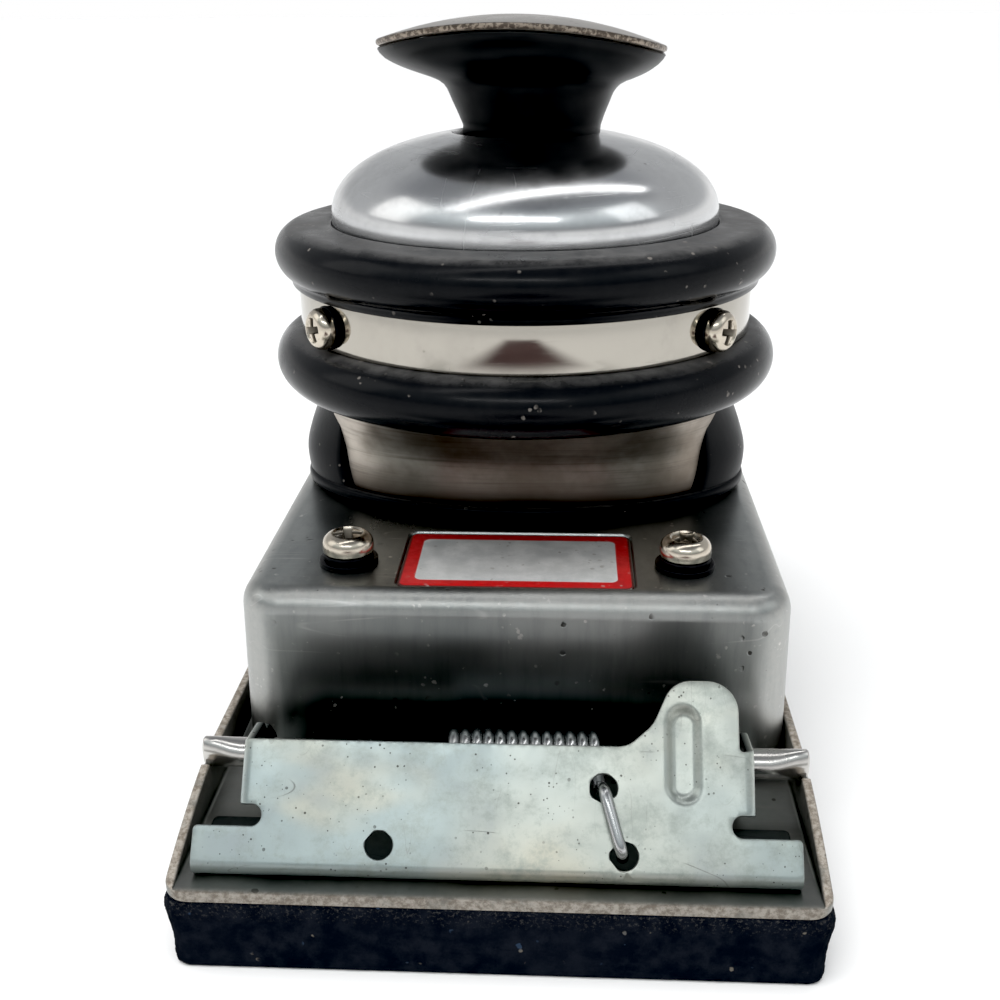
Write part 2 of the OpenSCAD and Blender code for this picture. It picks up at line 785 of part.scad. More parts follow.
module clamp_spring() {
    steps = 14;
    first = 235;               // the coil starts low, where the platen leg leaves it
    total = 360 * clamp_turns - 95;
    n = floor(steps * total / 360);
    coil = [for (i = [0:n]) let (a = first + total * i / n)
        [coil_x[0] + (coil_x[1] - coil_x[0]) * i / n,
         -rod_y + coil_r * cos(a), rod_z + coil_r * sin(a)]];
    rear_leg = [[coil_x[0] - 0.3, -58.2, floor_z + wire_r + 0.15],
        [coil_x[0] - 0.1, -60.5, floor_z + wire_r + 0.9]];
    front_leg = [on_clamp(14.9, 14.3, -4.5), on_clamp(15.1, 14.2, -1.5), on_clamp(15.4, 13.6, 0.3),
        on_clamp(15.8, 12.2, 1.0), on_clamp(17.2, 7.2, 1.0), on_clamp(17.8, 5.4, 0.6),
        on_clamp(18.0, 4.9, -0.6), on_clamp(18.1, 4.7, -2.6)];
    color("gray") wire(concat(rear_leg, coil, front_leg), wire_r, [1, 0, 0], 8);
}

module turn_about() {
    rotate([0, 0, 180]) children();
}

module front_rod() pivot_rod();
module rear_rod() turn_about() pivot_rod();
module front_clamp() clamp_part();
module rear_clamp() turn_about() clamp_part();
module front_clamp_spring() clamp_spring();
module rear_clamp_spring() turn_about() clamp_spring();

// ---------- air inlet ----------
module inlet_bushing() {
    color("goldenrod") at_motor() translate([0, 0, inlet_z]) rotate([-90, 0, 0]) difference() {
        union() {
            translate([0, 0, 27]) cylinder(r = 6.5, h = boss_end - 27 + eps);
            translate([0, 0, boss_end])
                cylinder(r = inlet_flats / sqrt(3), h = inlet_end - boss_end, $fn = 6);
        }
        cylinder(r = 3, h = 80);
        translate([0, 0, inlet_end - 14]) cylinder(r = inlet_r, h = 20);
    }
}

module inlet_screen() {
    color("khaki") at_motor() translate([0, 0, inlet_z]) rotate([-90, 0, 0]) difference() {
        translate([0, 0, 33]) cylinder(r = 3, h = 0.6);
        for (x = [-1:1], y = [-1:1]) translate([x * 1.25, y * 1.25, 0]) cylinder(r = 0.45, h = 80);
    }
}

shroud();
label_plate();
shroud_screws();
shroud_lock_washers();
shroud_flat_washers();
rubber_posts();
base_gasket();
motor_housing();
motor_screws();
grip_collar();
lower_bumper_ring();
exhaust_muffler();
exhaust_band();
band_screws();
band_washers();
upper_bumper_ring();
cap_seal();
dome_cap();
shaft_seal();
lower_bearing();
lower_end_plate();
cylinder_liner();
liner_pin();
upper_end_plate();
upper_bearing();
valve_body();
valve_seal();
inlet_bushing();
inlet_screen();
crankshaft();
rotor();
vanes();
rotor_key();
rotor_nut();
counterweight();
counterweight_screws();
platen();
pad();
bearing_hub();
hub_screws();
eccentric_bearing();
hub_circlip();
post_screws();
front_rod();
rear_rod();
front_clamp();
front_clamp_spring();
rear_clamp();
rear_clamp_spring();
knob_stem();
knob_cap();
knob_retaining_ring();
valve_pin();
throttle_spring();
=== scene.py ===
"""Looks for the orbital pad sander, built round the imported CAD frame."""
import json
import random
from functools import partialmethod
from math import acos, atan2, ceil, copysign, cos, exp, hypot, pi, radians, sin, sqrt, tan

import bmesh
import bpy
from mathutils import Matrix, Vector
from mathutils.geometry import delaunay_2d_cdt


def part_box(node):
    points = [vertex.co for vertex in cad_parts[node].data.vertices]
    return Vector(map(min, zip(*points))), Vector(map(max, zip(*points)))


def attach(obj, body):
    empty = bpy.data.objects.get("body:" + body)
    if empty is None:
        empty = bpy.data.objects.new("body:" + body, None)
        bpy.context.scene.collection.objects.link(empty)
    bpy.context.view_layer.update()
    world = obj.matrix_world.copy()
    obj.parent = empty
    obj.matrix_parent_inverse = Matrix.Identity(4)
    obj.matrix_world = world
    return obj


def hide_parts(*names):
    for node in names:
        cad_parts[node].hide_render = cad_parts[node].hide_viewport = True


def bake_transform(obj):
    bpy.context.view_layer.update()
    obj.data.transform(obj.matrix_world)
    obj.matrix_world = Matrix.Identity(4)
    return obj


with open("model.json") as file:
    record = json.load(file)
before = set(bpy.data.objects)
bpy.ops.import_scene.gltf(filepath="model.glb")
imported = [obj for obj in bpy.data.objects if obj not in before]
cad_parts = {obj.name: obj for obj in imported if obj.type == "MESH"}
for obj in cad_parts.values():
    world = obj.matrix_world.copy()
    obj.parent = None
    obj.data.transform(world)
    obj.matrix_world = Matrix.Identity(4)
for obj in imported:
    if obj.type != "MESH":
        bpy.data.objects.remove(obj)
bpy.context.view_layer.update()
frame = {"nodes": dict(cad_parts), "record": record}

MM = 0.001


# ---- sizes, in millimetres
class Box:
    """A CAD node's box, in millimetres."""

    def __init__(self, node):
        lo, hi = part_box(node)
        self.lo, self.hi = lo / MM, hi / MM
        self.mid, self.half = (self.lo + self.hi) / 2, (self.hi - self.lo) / 2


pad, platen, shroud, label = Box("pad"), Box("platen"), Box("shroud"), Box("label_plate")
band, upper, lower = Box("exhaust_band"), Box("upper_bumper_ring"), Box("lower_bumper_ring")
collar, dome, cap, rod = Box("grip_collar"), Box("dome_cap"), Box("knob_cap"), Box("front_rod")
screws, bushing = Box("shroud_screws"), Box("inlet_bushing")

ORIGIN = Vector((0, 0, 0))
MOTOR = Vector((dome.mid.x, 0, 0))
FLOOR = platen.lo.z + 1.6           # top of the platen's floor
DOME_WAIST = 94.2                   # where the dome's side starts to turn in
KNOB_BORE = 12.9                    # radius of the hole that the knob goes down
BARREL_R = 36.02                    # bore of the bumper rings, just clear of the motor's barrel
DECK = shroud.hi.z                  # top of the shroud
NECK_BASE = DECK + 0.5
RING_FOOT = lower.lo.z              # underside of the lower ring
HEAD_R = 4.2                        # radius of the deck screws' heads
POSTS = [MOTOR + Vector((sx * (screws.half.x - HEAD_R), sy * (screws.half.y - HEAD_R), 0))
         for sx in (-1, 1) for sy in (-1, 1)]
ROD = Vector((0, rod.mid.y, rod.mid.z))
ROD_R = rod.half.z
SLOPE = radians(52)                 # of the clamp plate, above the horizontal
CLAMP_FOOT = Vector((-0.3, -87.34, 14.0))


# ---- mesh helpers
def unit(x):
    """Holds a number between 0 and 1."""
    return max(0.0, min(1.0, x))


def smooth(x):
    """Rises from 0 to 1, level at both ends."""
    x = unit(x)
    return x * x * (3 - 2 * x)


def unit_circle(n):
    """Cosine and sine at n even steps round a circle."""
    return [(cos(t), sin(t)) for t in (2 * pi * k / n for k in range(n))]


def rotation(degrees, axis):
    return Matrix.Rotation(radians(degrees), 4, axis)


def place(o, at, turn=Matrix.Identity(4)):
    """Turns a piece, then moves it to a point in millimetres."""
    o.data.transform(Matrix.Translation(Vector(at) * MM) @ turn)
    return o


def add_object(name, data):
    o = bpy.data.objects.new(name.replace(" ", "_"), data)
    bpy.context.scene.collection.objects.link(o)
    return o


def mesh_object(name, verts, faces):
    """A smooth mesh object from points in millimetres."""
    me = bpy.data.meshes.new(name.replace(" ", "_"))
    me.from_pydata([Vector(v) * MM for v in verts], [], faces)
    me.validate()
    me.polygons.foreach_set("use_smooth", [True] * len(me.polygons))
    return add_object(name, me)


def fix_normals(o):
    """Turns every face outwards."""
    bm = bmesh.new()
    bm.from_mesh(o.data)
    bmesh.ops.recalc_face_normals(bm, faces=bm.faces)
    bm.to_mesh(o.data)
    bm.free()
    return o


def loft(name, rings, caps=True, closed=False):
    """Skin over rings of equal length. closed joins the last ring to the first."""
    n = len(rings[0])
    verts = [p for r in rings for p in r]
    faces = []
    for i in range(len(rings) - (0 if closed else 1)):
        a, b = i * n, ((i + 1) % len(rings)) * n
        faces += [(a + k, a + (k + 1) % n, b + (k + 1) % n, b + k) for k in range(n)]
    if caps and not closed:
        faces += [tuple(range(n))[::-1], tuple(range(len(verts) - n, len(verts)))]
    return fix_normals(mesh_object(name, verts, faces))


def lathe(name, profile, segs=160, centre=MOTOR, closed=True):
    """Turns a list of (radius, height) about a vertical axis. closed joins its ends, as round a ring."""
    x, y = centre.x, centre.y
    if closed:
        rings = [[(x + r * c, y + r * q, z) for r, z in profile] for c, q in unit_circle(segs)]
        return loft(name, rings, False, True)
    return loft(name, [[(x + r * c, y + r * q, z) for c, q in unit_circle(segs)] for r, z in profile])


def arc(cx, cy, r, start, end, steps):
    """Points of an arc, angles in degrees."""
    out = []
    for i in range(steps + 1):
        a = radians(start + (end - start) * i / steps)
        out.append((cx + r * cos(a), cy + r * sin(a)))
    return out


def fillet(points, radii, steps=6):
    """Rounds the corners of a closed outline. radii is one number or one per corner."""
    n = len(points)
    if not isinstance(radii, (list, tuple)):
        radii = [radii] * n
    out = []
    for i in range(n):
        p = Vector(points[i])
        a, b = Vector(points[i - 1]) - p, Vector(points[(i + 1) % n]) - p
        half = a.angle(b) / 2
        r = radii[i]
        cut = r / tan(half) if r > 0 and half < pi / 2 - 1e-3 else 0
        if cut == 0:
            out.append(tuple(p))
            continue
        room = 0.49 * min(a.length, b.length)
        if cut > room:
            r *= room / cut
            cut = room
        a.normalize()
        b.normalize()
        centre = p + (a + b).normalized() * (r / sin(half))
        s, e = p + a * cut - centre, p + b * cut - centre
        turn = s.angle_signed(e) * -1
        for k in range(steps + 1):
            t = turn * k / steps
            c, q = cos(t), sin(t)
            out.append((centre.x + s.x * c - s.y * q, centre.y + s.x * q + s.y * c))
    return out


def rounded_rect(half_w, half_l, r, z, centre=MOTOR, corner=10, side=1):
    """Ring of a rectangle with rounded corners, anticlockwise from the +X side."""
    pts = []
    for cx, cy, a in ((1, 1, 0), (-1, 1, 90), (-1, -1, 180), (1, -1, 270)):
        pts += arc(cx * (half_w - r), cy * (half_l - r), r, a, a + 90, corner)
    if side > 1:
        full = []
        for i, p in enumerate(pts):
            q = pts[(i + 1) % len(pts)]
            full.append(p)
            if (i + 1) % (corner + 1) == 0:
                full += [(p[0] + (q[0] - p[0]) * k / side, p[1] + (q[1] - p[1]) * k / side)
                         for k in range(1, side)]
        pts = full
    return [(centre.x + x, centre.y + y, z) for x, y in pts]


def oval_ring(a, b, n, z, count):
    """Ring of a superellipse round the motor's axis."""
    return [(MOTOR.x + copysign(abs(c) ** (2 / n) * a, c), copysign(abs(q) ** (2 / n) * b, q), z)
            for c, q in unit_circle(count)]


def blend_rows(rows, z):
    """A smooth curve through rows (z, value, value...), read at a height."""
    n = len(rows)
    if z <= rows[0][0]:
        return rows[0][1:]
    if z >= rows[-1][0]:
        return rows[-1][1:]
    i = max(k for k in range(n - 1) if rows[k][0] <= z)
    z0, z1 = rows[i][0], rows[i + 1][0]
    t = (z - z0) / (z1 - z0)

    def slope(k, c):
        a, b = rows[max(k - 1, 0)], rows[min(k + 1, n - 1)]
        return (b[c] - a[c]) / (b[0] - a[0]) * (z1 - z0)
    out = []
    for c in range(1, len(rows[0])):
        p0, p1, m0, m1 = rows[i][c], rows[i + 1][c], slope(i, c), slope(i + 1, c)
        out.append((2 * t ** 3 - 3 * t * t + 1) * p0 + (t ** 3 - 2 * t * t + t) * m0
                   + (3 * t * t - 2 * t ** 3) * p1 + (t ** 3 - t * t) * m1)
    return tuple(out)


def tube(name, path, radius):
    """A round wire along a list of points, its ends rounded off."""
    last = len(path) - 1
    tip = [(radius * cos(a), radius * sin(a)) for a in (1.2, 0.75, 0.25)]
    ends = {0: [(-along, r) for along, r in reversed(tip)], last: tip}
    rings = []
    normal = None
    for i, p in enumerate(path):
        t = (path[min(i + 1, last)] - path[max(i - 1, 0)]).normalized()
        if normal is None:
            normal = t.orthogonal().normalized()
        normal = (normal - t * normal.dot(t)).normalized()
        side = t.cross(normal)
        rings += [[p + t * along + (normal * c + side * q) * r for c, q in unit_circle(14)]
                  for along, r in ends.get(i, [(0, radius)])]
    return loft(name, rings)


def smooth_path(points, per):
    """A Catmull-Rom curve through points."""
    pts = [Vector(p) for p in points]
    out = []
    for i in range(len(pts) - 1):
        p0, p1, p2, p3 = pts[max(i - 1, 0)], pts[i], pts[i + 1], pts[min(i + 2, len(pts) - 1)]
        for k in range(per):
            t = k / per
            out.append(0.5 * ((2 * p1) + (p2 - p0) * t + (2 * p0 - 5 * p1 + 4 * p2 - p3) * t * t
                              + (3 * p1 - p0 - 3 * p2 + p3) * t ** 3))
    out.append(pts[-1])
    return out


def bake_modifiers(o):
    """Replaces an object's mesh by the result of its modifiers."""
    dg = bpy.context.evaluated_depsgraph_get()
    me = bpy.data.meshes.new_from_object(o.evaluated_get(dg))
    o.modifiers.clear()
    o.data = me
    return o


def carve(o, *tools):
    """Cuts closed tools out of an object and removes them."""
    for t in tools:
        m = o.modifiers.new("cut", "BOOLEAN")
        m.operation = "DIFFERENCE"
        m.solver = "EXACT"
        m.object = t
    bake_modifiers(o)
    for t in tools:
        bpy.data.objects.remove(t)
    return o


def crease(o, angle):
    """Smooth shading with sharp edges above an angle."""
    for p in o.data.polygons:
        p.use_smooth = True
    o.data.set_sharp_from_angle(angle=radians(angle))
    return o


def flatten_shading(o):
    """Lets large flat faces keep flat shading beside their rounded edges."""
    m = o.modifiers.new("normals", "WEIGHTED_NORMAL")
    m.keep_sharp = True
    m.weight = 80
    return bake_modifiers(o)


def soften(o, width):
    """Small bevels along sharp edges."""
    m = o.modifiers.new("bevel", "BEVEL")
    m.width = width * MM
    m.segments = 2
    m.limit_method = "ANGLE"
    m.angle_limit = radians(40)
    return crease(bake_modifiers(o), 50)


def turned_copy(o, name):
    """The same piece turned half round the vertical axis."""
    return place(add_object(name, o.data.copy()), (0, 0, 0), rotation(180, "Z"))


def join(name, objs):
    """One object from several."""
    bm = bmesh.new()
    for o in objs:
        bm.from_mesh(o.data)
        bpy.data.objects.remove(o)
    me = bpy.data.meshes.new(name.replace(" ", "_"))
    bm.to_mesh(me)
    bm.free()
    return add_object(name, me)


# ---- material helpers
class Graph:
    """A node tree and short calls that add nodes to it."""

    def __init__(self, tree, coordinates):
        self.tree = tree
        self.coord = self.add("TexCoord").outputs[coordinates]

    def put(self, socket, value):
        """Links a socket to another node's output, or sets its value."""
        if hasattr(value, "links"):
            self.tree.links.new(value, socket)
        else:
            socket.default_value = (*value, 1) if socket.type == "RGBA" else value

    def add(self, kind, **sockets):
        """A new node with some of its input sockets put."""
        n = self.tree.nodes.new("ShaderNode" + kind)
        for key, value in sockets.items():
            self.put(n.inputs[key.replace("_", " ")], value)
        return n

    def scaled(self, x, y, z, turn=0.0):
        """The coordinates stretched along each axis and turned."""
        return self.add("Mapping", Scale=(x, y, z), Rotation=(turn * 0.6, turn * 0.4, turn),
                        Vector=self.coord).outputs["Vector"]

    def noise(self, scale, detail=3.0, rough=0.55, vector=None, distortion=0.0):
        return self.add("TexNoise", Scale=scale, Detail=detail, Roughness=rough, Distortion=distortion,
                        Vector=vector or self.coord).outputs["Fac"]

    def ramp(self, fac, lo, hi, a=0.0, b=1.0):
        """Maps fac from lo..hi to a..b, clamped and smoothed."""
        n = self.add("MapRange", Value=fac, From_Min=lo, From_Max=hi, To_Min=a, To_Max=b)
        n.interpolation_type = "SMOOTHSTEP"
        return n.outputs["Result"]

    def math(self, op, *values):
        n = self.add("Math")
        n.operation = op
        for socket, value in zip(n.inputs, values):
            self.put(socket, value)
        return n.outputs[0]

    times = partialmethod(math, "MULTIPLY")
    plus = partialmethod(math, "ADD")
    minus = partialmethod(math, "SUBTRACT")
    larger = partialmethod(math, "MAXIMUM")

    def apart(self, a, b):
        return self.math("ABSOLUTE", self.minus(a, b))

    def mix(self, fac, a, b):
        n = self.add("Mix")
        n.data_type = "RGBA"
        for key, value in (("Factor", fac), ("A", a), ("B", b)):
            self.put(n.inputs[key], value)
        return n.outputs["Result"]

    def axis(self, which, vector=None):
        return self.add("SeparateXYZ", Vector=vector or self.coord).outputs[which]


class Nodes(Graph):
    """A principled material: a base colour built up in coats, and bumps on top of one another."""

    def __init__(self, name, **sockets):
        self.mat = bpy.data.materials.new(name)
        self.mat.use_nodes = True
        super().__init__(self.mat.node_tree, "Object")
        self.bsdf = self.tree.nodes["Principled BSDF"]
        for key, value in sockets.items():
            self.set(key.replace("_", " "), value)
        self.base = self.relief = None

    def set(self, socket, value):
        self.put(self.bsdf.inputs[socket], value)

    def paint(self, mask, a, b):
        """Sets the base colour to a, and to b where the mask is."""
        self.base = self.mix(mask, a, b)
        self.set("Base Color", self.base)

    def coat(self, mask, colour, amount=1):
        """Covers the base colour with another where the mask is, up to an amount."""
        self.paint(mask if amount == 1 else self.times(mask, amount), self.base, colour)

    def roughen(self, pattern, lo, hi, smoothest, roughest, extra=None, amount=0):
        """Roughness that follows a pattern, and rises by an amount where the extra mask is."""
        rough = self.ramp(pattern, lo, hi, smoothest, roughest)
        self.set("Roughness", rough if extra is None else self.plus(rough, self.times(extra, amount)))

    def stored(self):
        """What mark_wear_and_shade left on the mesh."""
        n = self.add("Attribute")
        n.attribute_name = "edge"
        return n.outputs["Fac"]

    def facing_up(self):
        return self.axis("Z", self.add("NewGeometry").outputs["Normal"])

    def specks(self, scale, size, patch_scale, lo, hi):
        """Small scattered spots of uneven size, gathered in patches."""
        spot = self.add("TexVoronoi", Scale=scale, Vector=self.coord).outputs["Distance"]
        ragged = self.plus(spot, self.ramp(self.noise(scale * 0.7), 0.3, 0.7, -size * 0.7, size))
        spots = self.ramp(ragged, size * 0.7, size, 1, 0)
        return self.times(spots, self.ramp(self.noise(patch_scale), lo, hi))

    def scratches(self, scale, stretch, width, patch_scale, lo, hi, turn=0.0):
        """Long fine lines that run much the same way, gathered in patches."""
        level = self.noise(scale, 1.0, 0.4, vector=self.scaled(*stretch, turn))
        line = self.ramp(self.apart(level, 0.5), 0.0, width, 1, 0)
        return self.times(line, self.ramp(self.noise(patch_scale), lo, hi))

    def bump(self, height, strength, distance):
        """Adds a bump of a given depth in millimetres on top of those before it."""
        n = self.add("Bump", Strength=strength, Distance=distance * MM, Height=height)
        if self.relief is not None:
            self.put(n.inputs["Normal"], self.relief)
        self.relief = n.outputs["Normal"]
        self.set("Normal", self.relief)


def cast_aluminium():
    """Satin-polished casting: drag lines on the faces, sandy rounded edges, pits, scuffs, and painted shade
    low on the front and rear faces.
    """
    m = Nodes("cast_aluminium", Metallic=1.0)
    broad = m.noise(24, 4)
    fine = m.noise(850, 3, 0.7)
    pits = m.specks(430, 0.2, 130, 0.54, 0.66)
    dots = m.specks(900, 0.26, 300, 0.56, 0.66)
    drag = m.noise(60, 5, 0.65, vector=m.scaled(7, 3, 1, 0.5))
    scuff = m.scratches(30, (1, 14, 5), 0.012, 70, 0.5, 0.62, 0.8)
    edge = m.times(m.stored(), m.ramp(fine, 0.3, 0.62, 0.55, 1.0))
    m.paint(m.ramp(broad, 0.3, 0.75), (0.25, 0.27, 0.268), (0.42, 0.43, 0.42))
    m.coat(m.ramp(drag, 0.4, 0.75), (0.14, 0.16, 0.16), 0.3)
    # painted shade: the lower middle of the front and rear faces is darkened to near-black teal, standing in
    # for the dark reflection of the clamps in front of them
    low = m.ramp(m.axis("Z"), (DECK - 20) * MM, (DECK - 8) * MM, 1, 0)
    low = m.times(low, m.ramp(m.math("ABSOLUTE", m.axis("X")), 0.028, 0.04, 1, 0))
    m.coat(m.times(low, m.ramp(broad, 0.25, 0.65, 0.85, 0.98)), (0.015, 0.025, 0.026))
    m.coat(edge, (0.5, 0.49, 0.465), 0.92)
    m.coat(scuff, (0.62, 0.61, 0.6), 0.4)
    m.coat(pits, (0.045, 0.04, 0.035), 0.85)
    m.coat(dots, (0.72, 0.7, 0.67), 0.6)
    rough = m.plus(m.ramp(broad, 0.3, 0.75, 0.24, 0.33), m.times(edge, 0.2))
    m.set("Roughness", m.plus(rough, m.times(drag, 0.06)))
    m.bump(broad, 0.15, 0.2)
    m.bump(drag, 0.2, 0.04)
    m.bump(m.times(fine, m.plus(edge, 0.08)), 0.55, 0.07)
    m.bump(m.minus(1.0, pits), 0.6, 0.12)
    return m.mat


def brushed_aluminium():
    """The turned housing: level brush lines, warm stains, small rubs and spots, and painted shade at the
    neck's foot.
    """
    m = Nodes("brushed_aluminium", Metallic=1.0)
    lines = m.noise(36, 4, 0.65, vector=m.scaled(1, 1, 40))
    stain = m.noise(50, 5, 0.6)
    rub = m.scratches(26, (1, 1, 26), 0.02, 60, 0.46, 0.6)
    spots = m.specks(260, 0.13, 90, 0.54, 0.64)
    # painted shade: the neck's lowest 10 mm, down where it meets the collar, is darkened
    low = m.ramp(m.axis("Z"), (NECK_BASE + 1) * MM, (NECK_BASE + 11) * MM, 1, 0)
    m.paint(m.ramp(stain, 0.32, 0.7), (0.23, 0.195, 0.16), (0.58, 0.53, 0.47))
    m.coat(m.times(low, m.ramp(stain, 0.3, 0.6, 0.7, 0.95)), (0.1, 0.08, 0.065))
    m.coat(m.ramp(lines, 0.48, 0.75), (0.12, 0.1, 0.085), 0.5)
    m.coat(rub, (0.22, 0.2, 0.18), 0.4)
    m.coat(spots, (0.07, 0.06, 0.05), 0.8)
    m.roughen(stain, 0.3, 0.7, 0.3, 0.4, lines, 0.14)
    m.bump(lines, 0.3, 0.03)
    m.bump(stain, 0.12, 0.15)
    return m.mat


def polished(name, colour, low, high, wave, grime):
    """Mirror polish with smudges, hairline scratches, small pits and a slightly uneven surface."""
    m = Nodes(name, Metallic=1.0)
    smudge = m.noise(60, 5, 0.65)
    hair = m.scratches(20, (1, 1, 22), 0.006, 90, 0.5, 0.62, 0.1)
    cross = m.scratches(14, (9, 2, 1), 0.002, 60, 0.52, 0.62, -0.5)
    hair = m.larger(hair, cross)
    dots = m.specks(520, 0.15, 120, 0.56, 0.66)
    wipe = m.noise(34, 4, 0.6, vector=m.scaled(1, 1, 6))
    haze = m.ramp(m.noise(42, 5, 0.7, distortion=0.6), 0.5, 0.66)
    m.paint(m.ramp(smudge, 0.42, 0.75), colour, tuple(c * 0.84 for c in colour))
    m.coat(haze, tuple(c * 0.66 for c in colour), 0.4)
    m.coat(hair, tuple(min(1, c * 1.12) for c in colour), 0.15)
    m.coat(dots, grime, 0.75)
    rough = m.plus(m.ramp(smudge, 0.35, 0.72, low, high), m.times(hair, 0.16))
    m.set("Roughness", m.plus(rough, m.times(wipe, 0.06)))
    m.bump(m.noise(16, 2), wave, 0.5)
    m.bump(wipe, 0.08, 0.05)
    m.bump(hair, 0.08, 0.01)
    return m.mat


def black_rubber(name, gloss, dust, shine):
    """Moulded rubber: pores, dust where it faces up, scuffs, and pale grit."""
    m = Nodes(name, Metallic=0.0)
    m.set("Specular IOR Level", shine)
    pores = m.noise(750, 3)
    broad = m.noise(70, 5, 0.6)
    fine = m.noise(320, 4, 0.7)
    up = m.ramp(m.facing_up(), 0.75, 1.0)
    grit = m.specks(620, 0.2, 230, 0.55, 0.64)
    film = m.times(m.plus(m.times(up, 0.95), 0.03), m.ramp(fine, 0.3, 0.7, 0.35, 1.0))
    film = m.times(film, m.ramp(broad, 0.3, 0.7, 0.45, 1.0))
    m.paint(m.times(film, dust), (0.0045, 0.005, 0.006), (0.125, 0.122, 0.12))
    m.coat(grit, (0.22, 0.2, 0.18), 0.55)
    m.roughen(broad, 0.3, 0.75, gloss - 0.06, gloss + 0.07, film, 0.35)
    m.bump(broad, 0.12, 0.15)
    m.bump(fine, 0.15, 0.05)
    m.bump(pores, 0.35, 0.04)
    return m.mat


def zinc_plate():
    """Zinc plating: blue and straw passivate, dull patches, scratches, dark specks, and painted shade on the
    inner side.
    """
    m = Nodes("zinc_plate", Metallic=1.0)
    cloud = m.noise(20, 4)
    second = m.noise(34, 3, vector=m.scaled(1, 1.6, 1.6))
    patch = m.noise(85, 5, 0.62)
    m.paint(m.ramp(cloud, 0.38, 0.62), (0.375, 0.435, 0.43), (0.49, 0.51, 0.46))
    m.coat(m.ramp(second, 0.5, 0.7, 0, 0.6), (0.55, 0.51, 0.4))
    m.coat(m.ramp(patch, 0.48, 0.78, 0, 0.5), (0.42, 0.46, 0.475))
    scratch = m.scratches(9, (2, 14, 9), 0.0035, 85, 0.5, 0.58, 0.5)
    fine = m.scratches(16, (12, 2, 5), 0.004, 95, 0.52, 0.6, -0.3)
    speck = m.specks(420, 0.085, 75, 0.46, 0.58)
    small = m.specks(1150, 0.13, 60, 0.44, 0.56)
    stain = m.ramp(m.noise(190, 7, 0.82), 0.44, 0.68, 0, 0.7)
    m.coat(stain, (0.3, 0.33, 0.3))
    m.coat(m.larger(scratch, fine), (0.24, 0.23, 0.21), 0.4)
    m.coat(m.larger(speck, small), (0.05, 0.045, 0.04), 0.85)
    # painted shade: the clamp plate's inner side, marked in build_clamp_mesh, is darkened to near black
    m.coat(m.times(m.stored(), m.ramp(patch, 0.2, 0.8, 0.97, 0.85)), (0.018, 0.022, 0.022))
    m.roughen(patch, 0.3, 0.75, 0.34, 0.48, scratch, 0.2)
    m.bump(m.noise(14, 2), 0.12, 0.4)
    m.bump(m.noise(260, 5, 0.7), 0.35, 0.05)
    m.bump(scratch, 0.3, 0.03)
    return m.mat


def plain_steel(name, colour, low, high, grime=(0.07, 0.06, 0.05), grain=(1, 1, 1), dirt=0.5, recess_shade=False):
    """Bare or plated steel with grain lines, a little grime, and painted shade in its recesses."""
    m = Nodes(name, Metallic=1.0)
    lines = m.noise(60, 4, 0.6, vector=m.scaled(*grain))
    patch = m.noise(130, 4)
    m.paint(m.ramp(patch, 0.3, 0.75, 0, 0.5), colour, tuple(c * 0.68 for c in colour))
    speck = m.specks(520, 0.2, 170, 0.54, 0.64)
    m.coat(m.times(speck, dirt), grime)
    rough = m.plus(m.ramp(patch, 0.3, 0.75, low, high), m.times(lines, 0.06))
    # painted shade: the sunk cross recess is darkened to near black and made rougher
    if recess_shade:
        hole = m.stored()
        m.coat(m.times(hole, m.ramp(patch, 0.2, 0.8, 1.0, 0.8)), (0.02, 0.018, 0.015))
        rough = m.plus(rough, m.times(hole, 0.4))
    m.set("Roughness", rough)
    m.bump(lines, 0.25, 0.03)
    m.bump(m.noise(800, 2), 0.15, 0.015)
    return m.mat


def platen_steel():
    """Bare sheet, dull and stained on its faces, tan with rust along its open edges."""
    m = Nodes("platen_steel")
    wear = m.noise(240, 5, 0.68)
    edge = m.times(m.stored(), m.ramp(wear, 0.22, 0.5, 0.25, 1.0))
    patch = m.noise(52, 5, 0.6)
    grain = m.noise(60, 3, vector=m.scaled(1, 14, 14))
    m.paint(m.ramp(patch, 0.32, 0.7), (0.2, 0.205, 0.195), (0.33, 0.335, 0.315))
    m.coat(m.ramp(grain, 0.5, 0.75), (0.3, 0.285, 0.26), 0.4)
    rust = m.mix(m.ramp(m.noise(1200, 4, 0.75), 0.36, 0.64), (0.17, 0.14, 0.11), (0.38, 0.345, 0.3))
    m.coat(edge, rust)
    m.coat(m.specks(420, 0.2, 150, 0.52, 0.62), (0.03, 0.025, 0.02), 0.7)
    m.set("Metallic", m.minus(1.0, m.times(edge, 0.8)))
    m.roughen(patch, 0.3, 0.7, 0.28, 0.45, edge, 0.3)
    m.bump(grain, 0.2, 0.04)
    m.bump(m.times(wear, edge), 0.6, 0.12)
    return m.mat


def pad_felt():
    """Black felt-faced foam rubber: fuzz, nap, lint and dust."""
    m = Nodes("pad_felt", Metallic=0.0, Roughness=0.95)
    m.set("Specular IOR Level", 0.03)
    nap = m.noise(1700, 4, 0.8)
    tuft = m.noise(280, 4, 0.68)
    broad = m.noise(45, 3)
    m.paint(m.ramp(tuft, 0.38, 0.7), (0.0075, 0.0088, 0.0122), (0.0135, 0.0155, 0.0205))
    m.coat(m.ramp(broad, 0.45, 0.75, 0, 0.4), (0.015, 0.017, 0.022))
    high = m.ramp(m.axis("Z"), (pad.hi.z - 4.0) * MM, pad.hi.z * MM, 0, 0.9)
    m.coat(m.times(high, m.ramp(nap, 0.52, 0.68, 0.0, 1.0)), (0.07, 0.068, 0.066))
    lint = m.specks(560, 0.19, 210, 0.56, 0.63)
    lint_colour = m.mix(m.ramp(m.noise(300, 1), 0.45, 0.55), (0.04, 0.065, 0.11), (0.2, 0.18, 0.15))
    m.coat(lint, lint_colour, 0.6)
    m.bump(tuft, 0.7, 0.3)
    m.bump(nap, 0.7, 0.1)
    return m.mat


